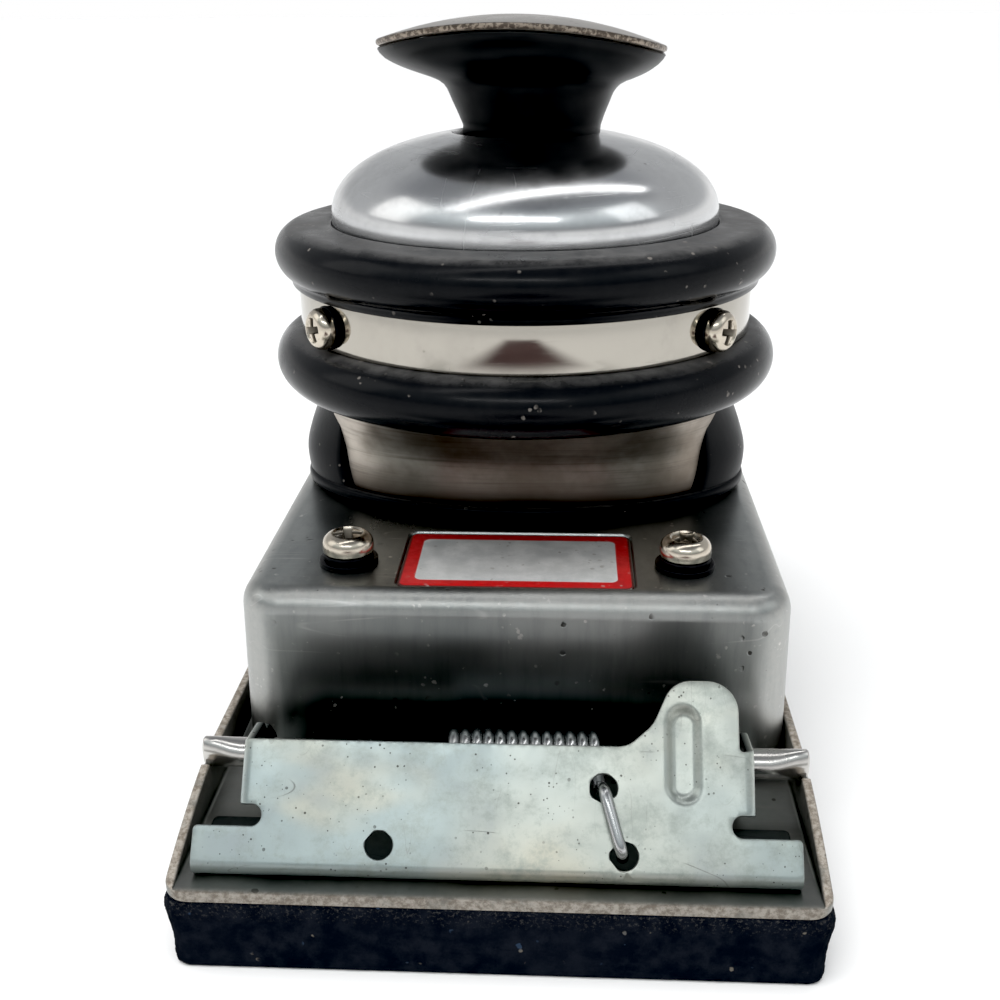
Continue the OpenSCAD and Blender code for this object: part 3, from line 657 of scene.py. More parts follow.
def knob_black():
    """Moulded black plastic, rubbed smooth, with faint dust."""
    m = Nodes("knob_black", Metallic=0.0)
    m.set("Specular IOR Level", 0.1)
    broad = m.noise(70, 4)
    m.paint(m.ramp(broad, 0.4, 0.7), (0.005, 0.0055, 0.006), (0.01, 0.0105, 0.011))
    m.roughen(broad, 0.3, 0.7, 0.3, 0.4)
    m.bump(m.noise(500, 3), 0.2, 0.03)
    m.bump(broad, 0.15, 0.2)
    return m.mat


def knob_nickel():
    """The knob's worn nickel disc: warm grey, its rim rubbed bright and speckled."""
    m = Nodes("knob_nickel", Metallic=1.0)
    patch = m.noise(90, 5, 0.62)
    rim = m.stored()
    fleck = m.ramp(m.noise(1300, 2, 0.7), 0.46, 0.58)
    m.paint(m.ramp(patch, 0.3, 0.7), (0.33, 0.295, 0.26), (0.43, 0.4, 0.365))
    worn = m.mix(fleck, (0.055, 0.038, 0.026), (0.3, 0.25, 0.2))
    m.coat(rim, worn, 0.85)
    m.coat(m.specks(480, 0.2, 160, 0.52, 0.62), (0.09, 0.07, 0.055), 0.7)
    m.roughen(patch, 0.3, 0.7, 0.24, 0.36, rim, 0.1)
    m.bump(m.noise(420, 3), 0.2, 0.03)
    m.bump(m.times(fleck, rim), 0.5, 0.05)
    return m.mat


def label_paint(border, radius):
    """Red printed border round a silver field, both slightly worn, dark at the plate's edge."""
    m = Nodes("label_print")

    def frame_mask(width, corner):
        """1 inside a rounded rectangle that stands a width in from the plate's edge."""
        past = []
        for which, mid, half in (("X", label.mid.x, label.half.x), ("Y", label.mid.y, label.half.y)):
            d = m.larger(m.minus(m.apart(m.axis(which), mid * MM), (half - width - corner) * MM), 0.0)
            past.append(m.times(d, d))
        return m.ramp(m.math("SQRT", m.plus(*past)), (corner - 0.08) * MM, (corner + 0.08) * MM, 1, 0)
    field = frame_mask(border, radius)
    printed = frame_mask(0.35, 1.1)
    worn = m.noise(300, 5, 0.7)
    red = m.mix(m.ramp(worn, 0.4, 0.75), (0.36, 0.008, 0.009), (0.24, 0.007, 0.008))
    silver = m.mix(m.ramp(worn, 0.35, 0.7), (0.66, 0.68, 0.68), (0.8, 0.81, 0.81))
    m.paint(field, m.mix(printed, (0.05, 0.012, 0.01), red), silver)
    dust = m.specks(700, 0.22, 200, 0.5, 0.62)
    m.coat(dust, (0.3, 0.28, 0.26), 0.5)
    m.set("Metallic", m.times(field, 0.6))
    m.roughen(worn, 0.3, 0.7, 0.3, 0.46)
    m.bump(m.noise(700, 2), 0.1, 0.02)
    m.bump(field, 0.4, 0.03)
    return m.mat


def soft_matt(name, a, b, rough=0.85, grain=500):
    """Felt, gasket board, phenolic and the like."""
    m = Nodes(name, Metallic=0.0)
    n = m.noise(grain, 4, 0.65)
    m.paint(n, a, b)
    m.roughen(n, 0.3, 0.7, rough - 0.08, rough + 0.06)
    m.bump(n, 0.5, 0.1)
    return m.mat


BROWN_GRIME = (0.09, 0.075, 0.055)
MAT = {
    "cast_aluminium": cast_aluminium(),
    "brushed_aluminium": brushed_aluminium(),
    "polished_aluminium": polished("polished_aluminium", (0.66, 0.665, 0.67), 0.13, 0.24, 0.16,
                                   (0.12, 0.11, 0.1)),
    "chrome_band": polished("bright_band", (0.43, 0.405, 0.36), 0.05, 0.12, 0.34, (0.16, 0.14, 0.12)),
    "ring_rubber": black_rubber("ring_rubber", 0.22, 0.85, 0.13),
    "black_rubber": black_rubber("black_rubber", 0.32, 0.4, 0.09),
    "black_felt": pad_felt(),
    "muffler_felt": soft_matt("muffler_felt", (0.3, 0.25, 0.17), (0.48, 0.42, 0.31)),
    "gasket_paper": soft_matt("gasket_board", (0.05, 0.048, 0.045), (0.1, 0.095, 0.09)),
    # the screws' cross recesses get painted shade
    "nickel_screw": plain_steel("nickel_plate", (0.62, 0.56, 0.47), 0.12, 0.24, BROWN_GRIME, dirt=0.7,
                                recess_shade=True),
    "black_steel": plain_steel("black_oxide", (0.02, 0.02, 0.022), 0.28, 0.42, (0.08, 0.07, 0.06)),
    "zinc_steel": zinc_plate(),
    "rod_steel": plain_steel("rod_steel", (0.6, 0.585, 0.56), 0.15, 0.28, BROWN_GRIME),
    "platen_steel": platen_steel(),
    "spring_steel": plain_steel("spring_wire", (0.5, 0.51, 0.51), 0.16, 0.3, BROWN_GRIME),
    "machined_steel": plain_steel("machined_steel", (0.46, 0.46, 0.47), 0.22, 0.36, grain=(1, 1, 20)),
    "bearing_steel": plain_steel("bearing_steel", (0.66, 0.67, 0.69), 0.12, 0.24, grain=(1, 1, 12)),
    "weight_iron": plain_steel("machined_iron", (0.17, 0.17, 0.18), 0.4, 0.55, grain=(1, 1, 8)),
    "brass_fitting": plain_steel("brass", (0.62, 0.44, 0.19), 0.18, 0.34, (0.14, 0.1, 0.05), (1, 1, 6)),
    "vane_phenolic": soft_matt("phenolic", (0.17, 0.09, 0.045), (0.26, 0.15, 0.08), 0.6, 800),
    "label_red": label_paint(border=2.5, radius=1.2),
    "knob_black": knob_black(),
    "knob_plate": knob_nickel(),
}

NODE_SLOT = {s["node"]: s["material_slot"] for s in frame["record"]["subparts"]}
for name, obj in frame["nodes"].items():
    obj.data.materials.clear()
    obj.data.materials.append(MAT[NODE_SLOT[name]])


def finish_piece(o, slot, node=None, body="housing", material=None):
    """Gives a piece its slot's material, or another, and its body, and hides the CAD node that it stands for.
    """
    o.data.materials.clear()
    o.data.materials.append(MAT[material or slot])
    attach(o, body)
    if node:
        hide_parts(node)


def mark_wear_and_shade(o, amount):
    """Stores each point's wear on some pieces and painted shade on others, from 0 to 1, for the materials to
    read.
    """
    a = o.data.attributes.new("edge", "FLOAT", "POINT")
    a.data.foreach_set("value", [amount(v.co / MM) for v in o.data.vertices])


# ---- shroud
def build_shroud():
    half_w, half_l = shroud.half.x, shroud.half.y
    foot = shroud.lo.z
    edge, cast = 3.8, 7.0
    top_w, top_l = half_w - 0.2, half_l - 0.8

    def ring(w, l, corner, z):
        return rounded_rect(w, l, corner, z, side=8)
    rings = [ring(half_w - inset, half_l - inset, corner, z) for inset, corner, z in (
        (3.3, 4, DECK - 3), (3.3, 4, foot + 0.4), (3.0, 4, foot), (0.4, cast - 0.4, foot))]
    for k in range(7):
        z = foot + 0.4 + (DECK - edge - foot - 0.4) * k / 6
        draft = (z - foot) / (DECK - foot)
        rings.append(ring(half_w - 0.2 * draft, half_l - 0.8 * draft, cast, z))
    for k in range(1, 11):
        q = radians(9 * k)
        inset = edge * (1 - cos(q))
        rings.append(ring(top_w - inset, top_l - inset, cast - inset, DECK - edge + edge * sin(q)))
    rings += [ring(top_w - inset, top_l - inset, 3.0, DECK) for inset in (8, 16)]
    o = loft("cast shroud", rings)
    w, l = label.half.x + 0.35, label.half.y + 0.35
    recess = loft("recess", [rounded_rect(w + grow, l + grow, corner, DECK + z, label.mid)
                             for grow, corner, z in ((-0.15, 1.5, -0.6), (-0.1, 1.5, -0.3), (0.5, 1.8, 0.4))])
    carve(o, recess, *[lathe("hole", [(2.3, DECK - 6), (2.3, DECK + 2)], 24, p, False) for p in POSTS])
    carve(o, lathe("bore", [(12, DECK - 6), (12, DECK + 2)], 64, closed=False))
    flatten_shading(crease(o, 40))

    def wear(p):
        x, y = abs(p.x - MOTOR.x), abs(p.y)
        top = unit((p.z - (DECK - edge)) / edge) * unit(max(x - (top_w - 4.2), y - (top_l - 4.2)) / 3.2)
        corner = min(x - (half_w - cast), y - (half_l - cast)) / cast
        return max(top, 0.55 * unit(corner * 2))
    mark_wear_and_shade(o, wear)
    finish_piece(o, "cast_aluminium", "shroud")


def build_label():
    w, l = label.half.x, label.half.y
    rings = [rounded_rect(w - inset, l - inset, 1.3 - inset, z, label.mid)
             for inset, z in ((0, label.lo.z), (0, label.hi.z - 0.1), (0.1, label.hi.z))]
    o = crease(loft("label", rings), 50)
    finish_piece(o, "label_red", "label_plate")


# ---- screws and washers
def pan_head(name, r, h, shank_r, shank_l, spin):
    """A pan-head screw with a cross recess, standing on z = 0, in millimetres."""
    profile = [(0.01, h)]
    profile += [(r * 0.55 * k / 3, h - 0.1 * h * (k / 3) ** 2) for k in range(1, 4)]
    profile += arc(r * 0.52, h * 0.34, r * 0.48, 78, 0, 9)
    profile += [(r, h * 0.2), (r * 0.985, 0.05), (r * 0.96, 0.0), (shank_r, 0.0), (shank_r, -shank_l)]
    o = lathe(name, profile, 48, ORIGIN, False)
    arm, wide, deep = r * 0.6, r * 0.17, h * 0.72
    cross = [[(-a, -b, z), (a, -b, z), (a, b, z), (-a, b, z)]
             for z, a, b in ((h - deep, arm * 0.45, wide * 0.7), (h * 0.8, arm * 0.93, wide * 0.95),
                             (h + 0.5, arm * 1.08, wide * 1.12))]
    carve(o, *[place(loft("cross", cross), ORIGIN, rotation(q + spin, "Z")) for q in (0, 90)])

    # marks the cross recess, which the nickel material darkens as painted shade
    def recess_shade(p):
        q = hypot(p.x, p.y)
        if q > arm * 1.1 or p.z < 0:
            return 0.0
        return unit((h - 0.1 * h * min(1.0, q / (r * 0.55)) ** 2 - p.z - 0.04) / 0.35)
    soften(o, 0.07)
    mark_wear_and_shade(o, recess_shade)
    return o


def washer(name, r, inner, h, edge=0.15):
    profile = fillet([(inner, 0), (r, 0), (r, h), (inner, h)], edge, 3)
    return lathe(name, profile, 56, ORIGIN)


def lock_washer(name, r, inner, h):
    """A split ring whose ends stand a little apart."""
    section = fillet([(inner, 0), (r, 0), (r, h), (inner, h)], 0.12, 2)
    rings = []
    steps = 60
    for k in range(steps + 1):
        t = radians(8 + 344 * k / steps)
        lift = 0.0 if k < steps - 8 else 0.18 * (k - steps + 8) / 8
        rings.append([(x * cos(t), x * sin(t), z * (h - 0.2) / h + lift) for x, z in section])
    return crease(loft(name, rings), 40)


def join_fasteners(name, parts, angle, slot, node):
    """Fasteners of one kind as one piece."""
    finish_piece(crease(join(name, parts), angle), slot, node)


def build_deck_fasteners():
    rnd = random.Random(4)
    heads, locks, flats = [], [], []
    for post in POSTS:
        p = post + Vector((0, 0, DECK))
        q = Matrix.Rotation(rnd.uniform(0, 6.28), 4, "Z")
        head = pan_head("head", HEAD_R, 3.1, 2.0, 13, rnd.uniform(0, 90))
        heads.append(place(head, p + Vector((0, 0, 2.2))))
        locks.append(place(lock_washer("lock", 4.1, 2.2, 1.3), p + Vector((0, 0, 0.9)), q))
        flats.append(place(washer("flat", 4.8, 2.2, 0.9), p))
    join_fasteners("shroud screws", heads, 45, "nickel_screw", "shroud_screws")
    join_fasteners("lock washers", locks, 45, "black_steel", "shroud_lock_washers")
    join_fasteners("flat washers", flats, 45, "black_steel", "shroud_flat_washers")


BAND_ANGLES = (39.5, 140.5, 219.5, 320.5)


def build_band_fasteners():
    rnd = random.Random(9)
    heads, rings = [], []
    for a in BAND_ANGLES:
        out = Vector((cos(radians(a)), sin(radians(a)), 0))
        turn = out.to_track_quat("Z", "Y").to_matrix().to_4x4()
        at = MOTOR + Vector((0, 0, band.mid.z)) + out * band.half.x
        heads.append(place(pan_head("head", 3.5, 2.5, 1.5, 9, rnd.uniform(0, 90)), at + out * 0.9, turn))
        rings.append(place(washer("ring", 3.7, 1.9, 0.9, 0.3), at, turn))
    join_fasteners("band screws", heads, 45, "nickel_screw", "band_screws")
    join_fasteners("band washers", rings, 60, "black_rubber", "band_washers")


# ---- neck, collar and rings
# height, half width, half depth and squareness of the housing's neck
NECK = [(NECK_BASE, 36, 22, 2.7), (53, 36, 23.0, 2.7), (57, 36.15, 25.2, 2.65), (61, 36.7, 28.8, 2.5),
        (65, 37.4, 33.6, 2.2)]
NECK_TOP = 65


def build_neck():
    steps = 44
    heights = [NECK_BASE + (NECK_TOP - NECK_BASE) * k / steps for k in range(steps + 1)]
    o = crease(loft("motor housing neck", [oval_ring(*blend_rows(NECK, z), z, 192) for z in heights]), 50)
    finish_piece(o, "brushed_aluminium")
    barrel = crease(lathe("motor housing barrel", [(24, 64), (36, 64), (36, 90), (24, 90)], 96), 40)
    finish_piece(barrel, "brushed_aluminium")
    boss = lathe("inlet boss", [(8.6, 0), (8.6, 18.4), (8.0, 19.0), (6.5, 19.0), (6.5, 8)], 72, ORIGIN, False)
    place(boss, (MOTOR.x, 15, bushing.mid.z), rotation(-90, "X"))
    finish_piece(crease(boss, 40), "cast_aluminium")
    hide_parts("motor_housing")


# height, half width and half depth of the rubber collar's wings, and how far round they reach
WING = [(45.2, 41.3, 25.0, 15.4), (48, 41.8, 24.4, 14.6), (51, 41.8, 24.2, 14.2), (55, 40.7, 24.8, 14.2),
        (59, 39.2, 26.6, 14.6), (62, 38.1, 28.6, 15.4), (64.2, 37.6, 30.0, 16.4)]


def build_collar():
    pieces = []
    foot, steps, columns = WING[0][0], 26, 28
    for side in (-1, 1):
        rings = []
        for k in range(steps + 1):
            z = foot + (RING_FOOT - 0.1 - foot) * k / steps
            wa, wb, reach = blend_rows(WING, z)
            na, nb, nn = blend_rows(NECK, z)
            outer, inner = [], []
            for i in range(columns + 1):
                y = -reach + 2 * reach * i / columns
                outer.append((wa * sqrt(max(0, 1 - (y / wb) ** 2)), y))
                x = na * max(0.0, 1 - (abs(y) / nb) ** nn) ** (1 / nn) if abs(y) < nb else 0
                inner.append((x - 0.4, y))
            radii = [1.6 if i in (0, columns) else 0 for i in range(2 * columns + 2)]
            rings.append([(MOTOR.x + side * x, y, z) for x, y in fillet(outer + inner[::-1], radii, 5)])
        pieces.append(crease(loft("wing", rings), 50))
    a, b = min(collar.half.x, max(row[1] for row in WING)), collar.half.y
    flange = [oval_ring(a - inset, b - inset, 2.0, z, 160) for inset, z in (
        (0.5, 44.0), (0.12, 44.25), (0, 44.7), (0, 45.4), (0.14, 45.85), (0.5, 46.15), (0.95, 46.25),
        (1.4, 46.1), (1.8, 45.8), (2.5, 45.65), (5.5, 46.0))]
    pieces.append(crease(loft("flange", flange), 60))
    o = crease(fix_normals(join("grip collar", pieces)), 50)
    finish_piece(o, "black_rubber", "grip_collar")


def build_rings():
    bulge = lower.half.z
    body = [(37.6, NECK_TOP)] + arc(lower.half.x - bulge, lower.mid.z, bulge, -120, 90, 34)
    body += [(BARREL_R, lower.hi.z), (BARREL_R, NECK_TOP + 0.6)]
    o = crease(lathe("lower bumper ring", body, 200), 60)
    finish_piece(o, "black_rubber", "lower_bumper_ring", material="ring_rubber")

    bulge = 4.6
    body = [(BARREL_R, band.hi.z), (42.0, band.hi.z), (42.2, band.hi.z + 0.2), (42.25, 83.6)]
    body += arc(upper.half.x - bulge, upper.hi.z - bulge, bulge, -62, 76, 26)
    body += [(x, upper.hi.z + z) for x, z in ((40.0, -0.13), (38.6, -0.1), (37.2, 0.0), (35.7, 0.12),
                                              (34.95, 0.0), (34.66, -0.35))]
    body += [(34.65, 90.02), (BARREL_R, 90.02)]
    o = crease(lathe("upper bumper ring", body, 200), 60)
    finish_piece(o, "black_rubber", "upper_bumper_ring", material="ring_rubber")

    r = band.half.x
    body = fillet([(r - 1.2, band.lo.z), (r, band.lo.z), (r, band.hi.z), (r - 1.2, band.hi.z)], 0.3, 3)
    o = crease(lathe("exhaust band", body, 256), 60)
    finish_piece(o, "chrome_band", "exhaust_band")


def dome_profile(radius, height, inner, steps):
    """Quarter of a slightly squared ellipse from the dome's waist in to a radius."""
    square = 2.15
    limit = acos((inner / radius) ** (square / 2))
    return [(radius * cos(q) ** (2 / square), DOME_WAIST + height * sin(q) ** (2 / square))
            for q in (limit * k / steps for k in range(steps + 1))]


def build_dome():
    r, foot = dome.half.x, dome.lo.z
    rise, wall, boss = 14.6, 2.5, 103.0
    outer = [(r - 0.25, foot), (r, foot + 0.3)]
    outer += [(r, foot + (DOME_WAIST - foot) * k / 4) for k in range(1, 4)]
    outer += dome_profile(r, rise, KNOB_BORE + 0.3, 64)
    lip = outer[-1][1]
    outer += [(KNOB_BORE + 0.08, lip - 0.04), (KNOB_BORE, lip - 0.3)]
    inner = dome_profile(r - wall, rise - wall, KNOB_BORE + 3.5, 20)
    inner += [(KNOB_BORE + 3.5, boss), (KNOB_BORE, boss)]
    o = crease(lathe("polished dome", outer + inner[::-1] + [(r - wall, foot)], 256), 50)
    finish_piece(o, "polished_aluminium", "dome_cap")


# ---- palm knob
def knob_under(x, _):
    """Height of the cap's underside, arched from side to side."""
    arch = 92.0
    return cap.hi.z - 2.5 - arch + sqrt(arch ** 2 - x * x)


def knob_over(x, y):
    """Height of the cap's top: two different curves, side to side and front to back."""
    side, along = 69.4, 260.0
    return cap.hi.z - along + sqrt((along - side + sqrt(side ** 2 - x * x)) ** 2 - y * y)


# half width and height of the knob's neck and flare, up to the cap
STEM = [(12.1, 100.6), (12.1, 109.0), (12.4, 109.8), (12.9, 111.1), (13.3, 112.0), (13.7, 112.9),
        (14.1, 113.9), (14.5, 114.8), (15.0, 115.5), (15.8, 116.15), (17.0, 116.7), (18.5, 117.2),
        (20.0, 117.75), (21.2, 118.25), (22.4, 118.85), (23.6, 119.6), (24.4, 120.4), (24.8, 121.05)]
STEM_KINK = 14.6
LEAN = radians(1.5)                 # the knob's disc is a little tilted and off centre on its neck


def lean(o):
    """Bends the knob: the neck leans to the bore's right side and the disc sits back to the left."""
    for v in o.data.vertices:
        z = v.co.z / MM
        x = v.co.x / MM - MOTOR.x
        free, rise, flare = smooth((z - 106.5) / 2), smooth((z - 107) / 8), smooth((z - 115.2) / 5)
        v.co.x += (0.7 + 0.6 * free - 0.35 * rise - 1.55 * flare) * MM
        v.co.z -= x * LEAN * rise * MM
    return o


def build_knob():
    r = cap.half.y
    ring = unit_circle(192)
    spots = [(r * 0.985 * k / 18, knob_over, 0.0) for k in range(1, 19)]
    spots += [(r - inset, surface, lift) for surface, rim in (
        (knob_over, ((0.3, -0.01), (0.14, -0.06), (0.03, -0.18), (0, -0.36))),
        (knob_under, ((0, 0.8), (0.1, 0.5), (0.35, 0.25), (0.6, 0.05)))) for inset, lift in rim]
    spots += [(r * 0.97 * k / 12, knob_under, 0.0) for k in range(12, 0, -1)]
    rows = [[(MOTOR.x + q * c, q * s, surface(q * c, q * s) + lift) for c, s in ring]
            for q, surface, lift in spots]
    o = flatten_shading(crease(loft("knob cap plate", rows), 50))
    mark_wear_and_shade(o, lambda p: unit((hypot(p.x - MOTOR.x, p.y) - (r - 0.5)) / 0.35))
    finish_piece(lean(o), "knob_plate", "knob_cap", "throttle")

    flare_foot, flare_top = 115.0, STEM[-1][1]
    foot, reach = 116.0, STEM[-1][0]
    rows = []
    for q, z in STEM:
        row = []
        for c, s in ring:
            full = (knob_under(reach * c, 0) - foot) / (knob_under(reach, 0) - foot)
            stretch = (full - 1) * (z - flare_foot) * (flare_top - foot) / (flare_top - flare_foot)
            lift = z if q <= STEM_KINK else z + stretch
            row.append((MOTOR.x + q * c, q * s, min(lift, knob_under(q * c, 0) - 0.02)))
        rows.append(row)
    rows += [[(MOTOR.x + q * c, q * s, knob_under(q * c, 0) - 0.02) for c, s in ring]
             for q in (24.6, 12.0, 0.5)]
    o = crease(loft("knob stem", rows), 60)
    finish_piece(lean(o), "knob_black", "knob_stem", "throttle")


# ---- platen, pad and rods
def rail_top(y):
    """Height of the side rails, which slope down past the rods."""
    flat, slope, drop = 62, 26, 6.4
    if abs(y) <= flat:
        return platen.hi.z
    return max(FLOOR + 0.1, platen.hi.z - drop * ((abs(y) - flat) / slope) ** 1.5)


def build_platen():
    sheet, corner = 1.4, 2.5
    half_w, half_l, low = platen.hi.x, platen.hi.y, platen.lo.z
    stations = [-half_l + corner * (1 - cos(radians(q))) for q in range(0, 91, 15)]
    stations += [-half_l + corner + k * 1.5 for k in range(1, 17)]
    stations += [-58, -50, -30, -10]
    rows = []
    for y in stations + [-y for y in reversed(stations)]:
        past = max(0.0, abs(y) - (half_l - corner))
        w = half_w - (corner - sqrt(max(0.0, corner ** 2 - past ** 2)))
        wall = half_w - sheet
        top = FLOOR + 0.1 if w <= wall + 0.3 else rail_top(y)
        wall = min(wall, w - 0.3)
        side = [(w, low), (w, top), (wall, top), (wall, FLOOR)]
        outline = [(-w, low)] + side + [(-x, z) for x, z in side[:0:-1]]
        rows.append([(x, y, z) for x, z in fillet(outline, [0.9, 0.9, 0.35, 0.35, 0.6, 0.6, 0.35, 0.35], 4)])
    o = loft("platen", rows)
    hole_r = ROD_R + 0.02
    carve(o, *[place(lathe("rod hole", [(hole_r, -60), (hole_r, 60)], 40, ORIGIN, False),
                     (0, sy * abs(ROD.y), ROD.z), rotation(90, "Y")) for sy in (-1, 1)])

    def wear(p):
        if abs(p.x) > half_w - sheet - 0.2 and p.z > FLOOR + 0.2:
            return unit(1 - (rail_top(p.y) - p.z) / 0.6)
        return 0.9 * unit((abs(p.y) - (half_l - 0.9)) / 0.8)
    mark_wear_and_shade(crease(o, 40), wear)
    finish_piece(o, "platen_steel", "platen", "platen")


def build_pad():
    """Felt-faced foam: its sides swell under the platen and its skin is fuzzy."""
    half_w, half_l, top = pad.hi.x, pad.hi.y, pad.hi.z
    levels = [(0.0, 0.7), (0.12, 0.3), (0.5, 0.05), (1.2, 0.0), (2.4, 0.02), (3.6, 0.02), (4.8, -0.05),
              (6.0, -0.2), (7.2, -0.4), (8.2, -0.6), (9.0, -0.75), (9.8, -0.8), (10.5, -0.72), (11.0, -0.45),
              (11.3, 0.0), (top, 0.8)]
    o = loft("pad", [rounded_rect(half_w - inset, half_l - max(inset, 0) - 0.05, 2.6, z, ORIGIN, 8, 90)
                     for z, inset in levels])
    m = o.modifiers.new("nap", "SUBSURF")
    m.subdivision_type = "SIMPLE"
    m.levels = m.render_levels = 1
    bake_modifiers(o)
    rnd = random.Random(11)
    for v in o.data.vertices:
        if 0.2 * MM < v.co.z < (top - 0.2) * MM:
            side = Vector((copysign(1, v.co.x) if abs(v.co.x) > (half_w - 1) * MM else 0,
                           copysign(1, v.co.y) if abs(v.co.y) > (half_l - 1) * MM else 0, 0))
            if side.length > 0:
                v.co += side.normalized() * rnd.uniform(-0.1, 0.08) * MM
    finish_piece(crease(o, 80), "black_felt", "pad", "platen")


def build_rod(name, node, turn):
    """A pivot rod whose ends are pinched so that it can't slip out."""
    half = rod.half.x

    def crimp(c, q, pinch):
        """The crease that the pinching tool leaves along each flattened side."""
        return copysign(0.16 * pinch * exp(-(q / 0.22) ** 2), c)
    stations = [(0, 0.72), (0.12, 0.9)] + [(end, 1.0) for end in (0.45, 2.2, 4.6, 6.0, 7.5, half - 10)]
    stations = [(half - end, grow) for end, grow in stations]
    rows = []
    for x, grow in stations + [(-x, grow) for x, grow in reversed(stations)]:
        pinch = smooth(1 - (half - abs(x) - 1.0) / 4.5)
        flat, wide = ROD_R * grow * (1 - 0.34 * pinch), ROD_R * grow * (1 + 0.2 * pinch)
        rows.append([(x, c * flat - crimp(c, q, pinch), q * wide) for c, q in unit_circle(48)])
    o = place(loft(name, rows), (0, turn * abs(ROD.y), ROD.z), rotation(-6 * turn, "X"))
    finish_piece(crease(o, 45), "rod_steel", node, "platen")


# ---- clamps and their springs
CLAMP_T = 1.2
BEND_R = 1.8                        # outer radius of the jaw's bend
BEND_S = 2.78                       # where the plate meets it
BEND_TURN = radians(180) - SLOPE
BEND_LEN = BEND_TURN * (BEND_R - CLAMP_T / 2)
JAW_FLAP = 11.5                     # the jaw's foot, behind the bend
EAR_W = 73.6
EAR_BEND = 1.6
EAR_X = EAR_W / 2 - EAR_BEND        # where the ears' bends begin
EAR_LEN = pi / 2 * (EAR_BEND - CLAMP_T / 2)
JAW_W = 86.0
SLOT_S = 9.1
SLOT_R = 1.5
SLOT_X = 34.8
TOP_S = 19.9
TAB_X, TAB_S = 29.9, 29.5
HOLES = [(-16.3, 5.4), (15.3, 14.0), (18.2, 4.8)]
RIB_X, RIB_FOOT, RIB_HEAD, RIB_HALF = 26.7, 14.6, 23.4, 2.6
rod_back = ROD - Vector((0, CLAMP_FOOT.y, CLAMP_FOOT.z))
ROD_S = rod_back.y * cos(SLOPE) + rod_back.z * sin(SLOPE)
ROD_N = -rod_back.y * sin(SLOPE) + rod_back.z * cos(SLOPE)


def ear_x(n):
    """Place in the flat sheet of a point on an ear, n from the plate's outer face."""
    return EAR_X + EAR_LEN - n - EAR_BEND


def clamp_outline():
    """The flat sheet before it is bent: jaw, plate, thumb tab and ears, x across and s up the slope."""
    tail = BEND_S - BEND_LEN - JAW_FLAP
    jaw = JAW_W / 2
    slot_end = SLOT_X - SLOT_R
    right = [(jaw, tail, 0.8), (jaw, SLOT_S - SLOT_R, 0.7), (slot_end, SLOT_S - SLOT_R, 1.45),
             (slot_end, SLOT_S + SLOT_R, 1.45), (ear_x(-2.0), SLOT_S + SLOT_R, 1.0),
             (ear_x(ROD_N + 3.9), ROD_S - 3.2, 1.5), (ear_x(ROD_N - 4.3), ROD_S - 3.0, 3.6),
             (ear_x(ROD_N - 4.3), ROD_S + 3.0, 3.6), (ear_x(ROD_N + 3.2), ROD_S + 4.2, 2.0),
             (ear_x(-9.6), TOP_S + 2.2, 1.5), (ear_x(-7.8), TOP_S + 3.4, 1.5), (ear_x(-1.6), TOP_S, 0.6)]
    tab = [(TAB_X + 4.7, TOP_S - 0.6, 0.6), (TAB_X + 4.7, TAB_S, 4.4), (TAB_X - 4.6, TAB_S, 4.0),
           (TAB_X - 7.5, TOP_S + 3.2, 5.0), (TAB_X - 11.2, TOP_S, 4.0)]
    left = [(-x, q, r) for x, q, r in reversed(right)]
    points = right + tab + left
    return fillet([(x, q) for x, q, _ in points], [r for _, _, r in points], 8)


def even_steps(loop, step):
    """Adds points along the long sides of a closed outline."""
    out = []
    for p, q in zip(loop, loop[1:] + loop[:1]):
        a, b = Vector(p), Vector(q)
        n = max(1, ceil((b - a).length / step))
        out += [tuple(a + (b - a) * k / n) for k in range(n)]
    return out


def inset_loop(loop, amount):
    """Moves an anticlockwise outline inwards by its corners' bisectors."""
    out = []
    for before, p, after in zip(loop[-1:] + loop[:-1], loop, loop[1:] + loop[:1]):
        a = (Vector(p) - Vector(before)).normalized()
        b = (Vector(after) - Vector(p)).normalized()
        side = Vector((-a.y, a.x))
        normal = Vector((-(a.y + b.y), a.x + b.x))
        if normal.length < 1e-6:
            normal = side.copy()
        normal.normalize()
        grow = 1 / max(0.6, normal.dot(side))
        out.append((p[0] + normal.x * amount * grow, p[1] + normal.y * amount * grow))
    return out


def inside(loop, x, y):
    """Whether a point is within a closed outline."""
    hit = False
    for i, (x0, y0) in enumerate(loop):
        x1, y1 = loop[i - 1]
        if (y0 > y) != (y1 > y) and x < (x1 - x0) * (y - y0) / (y1 - y0) + x0:
            hit = not hit
    return hit


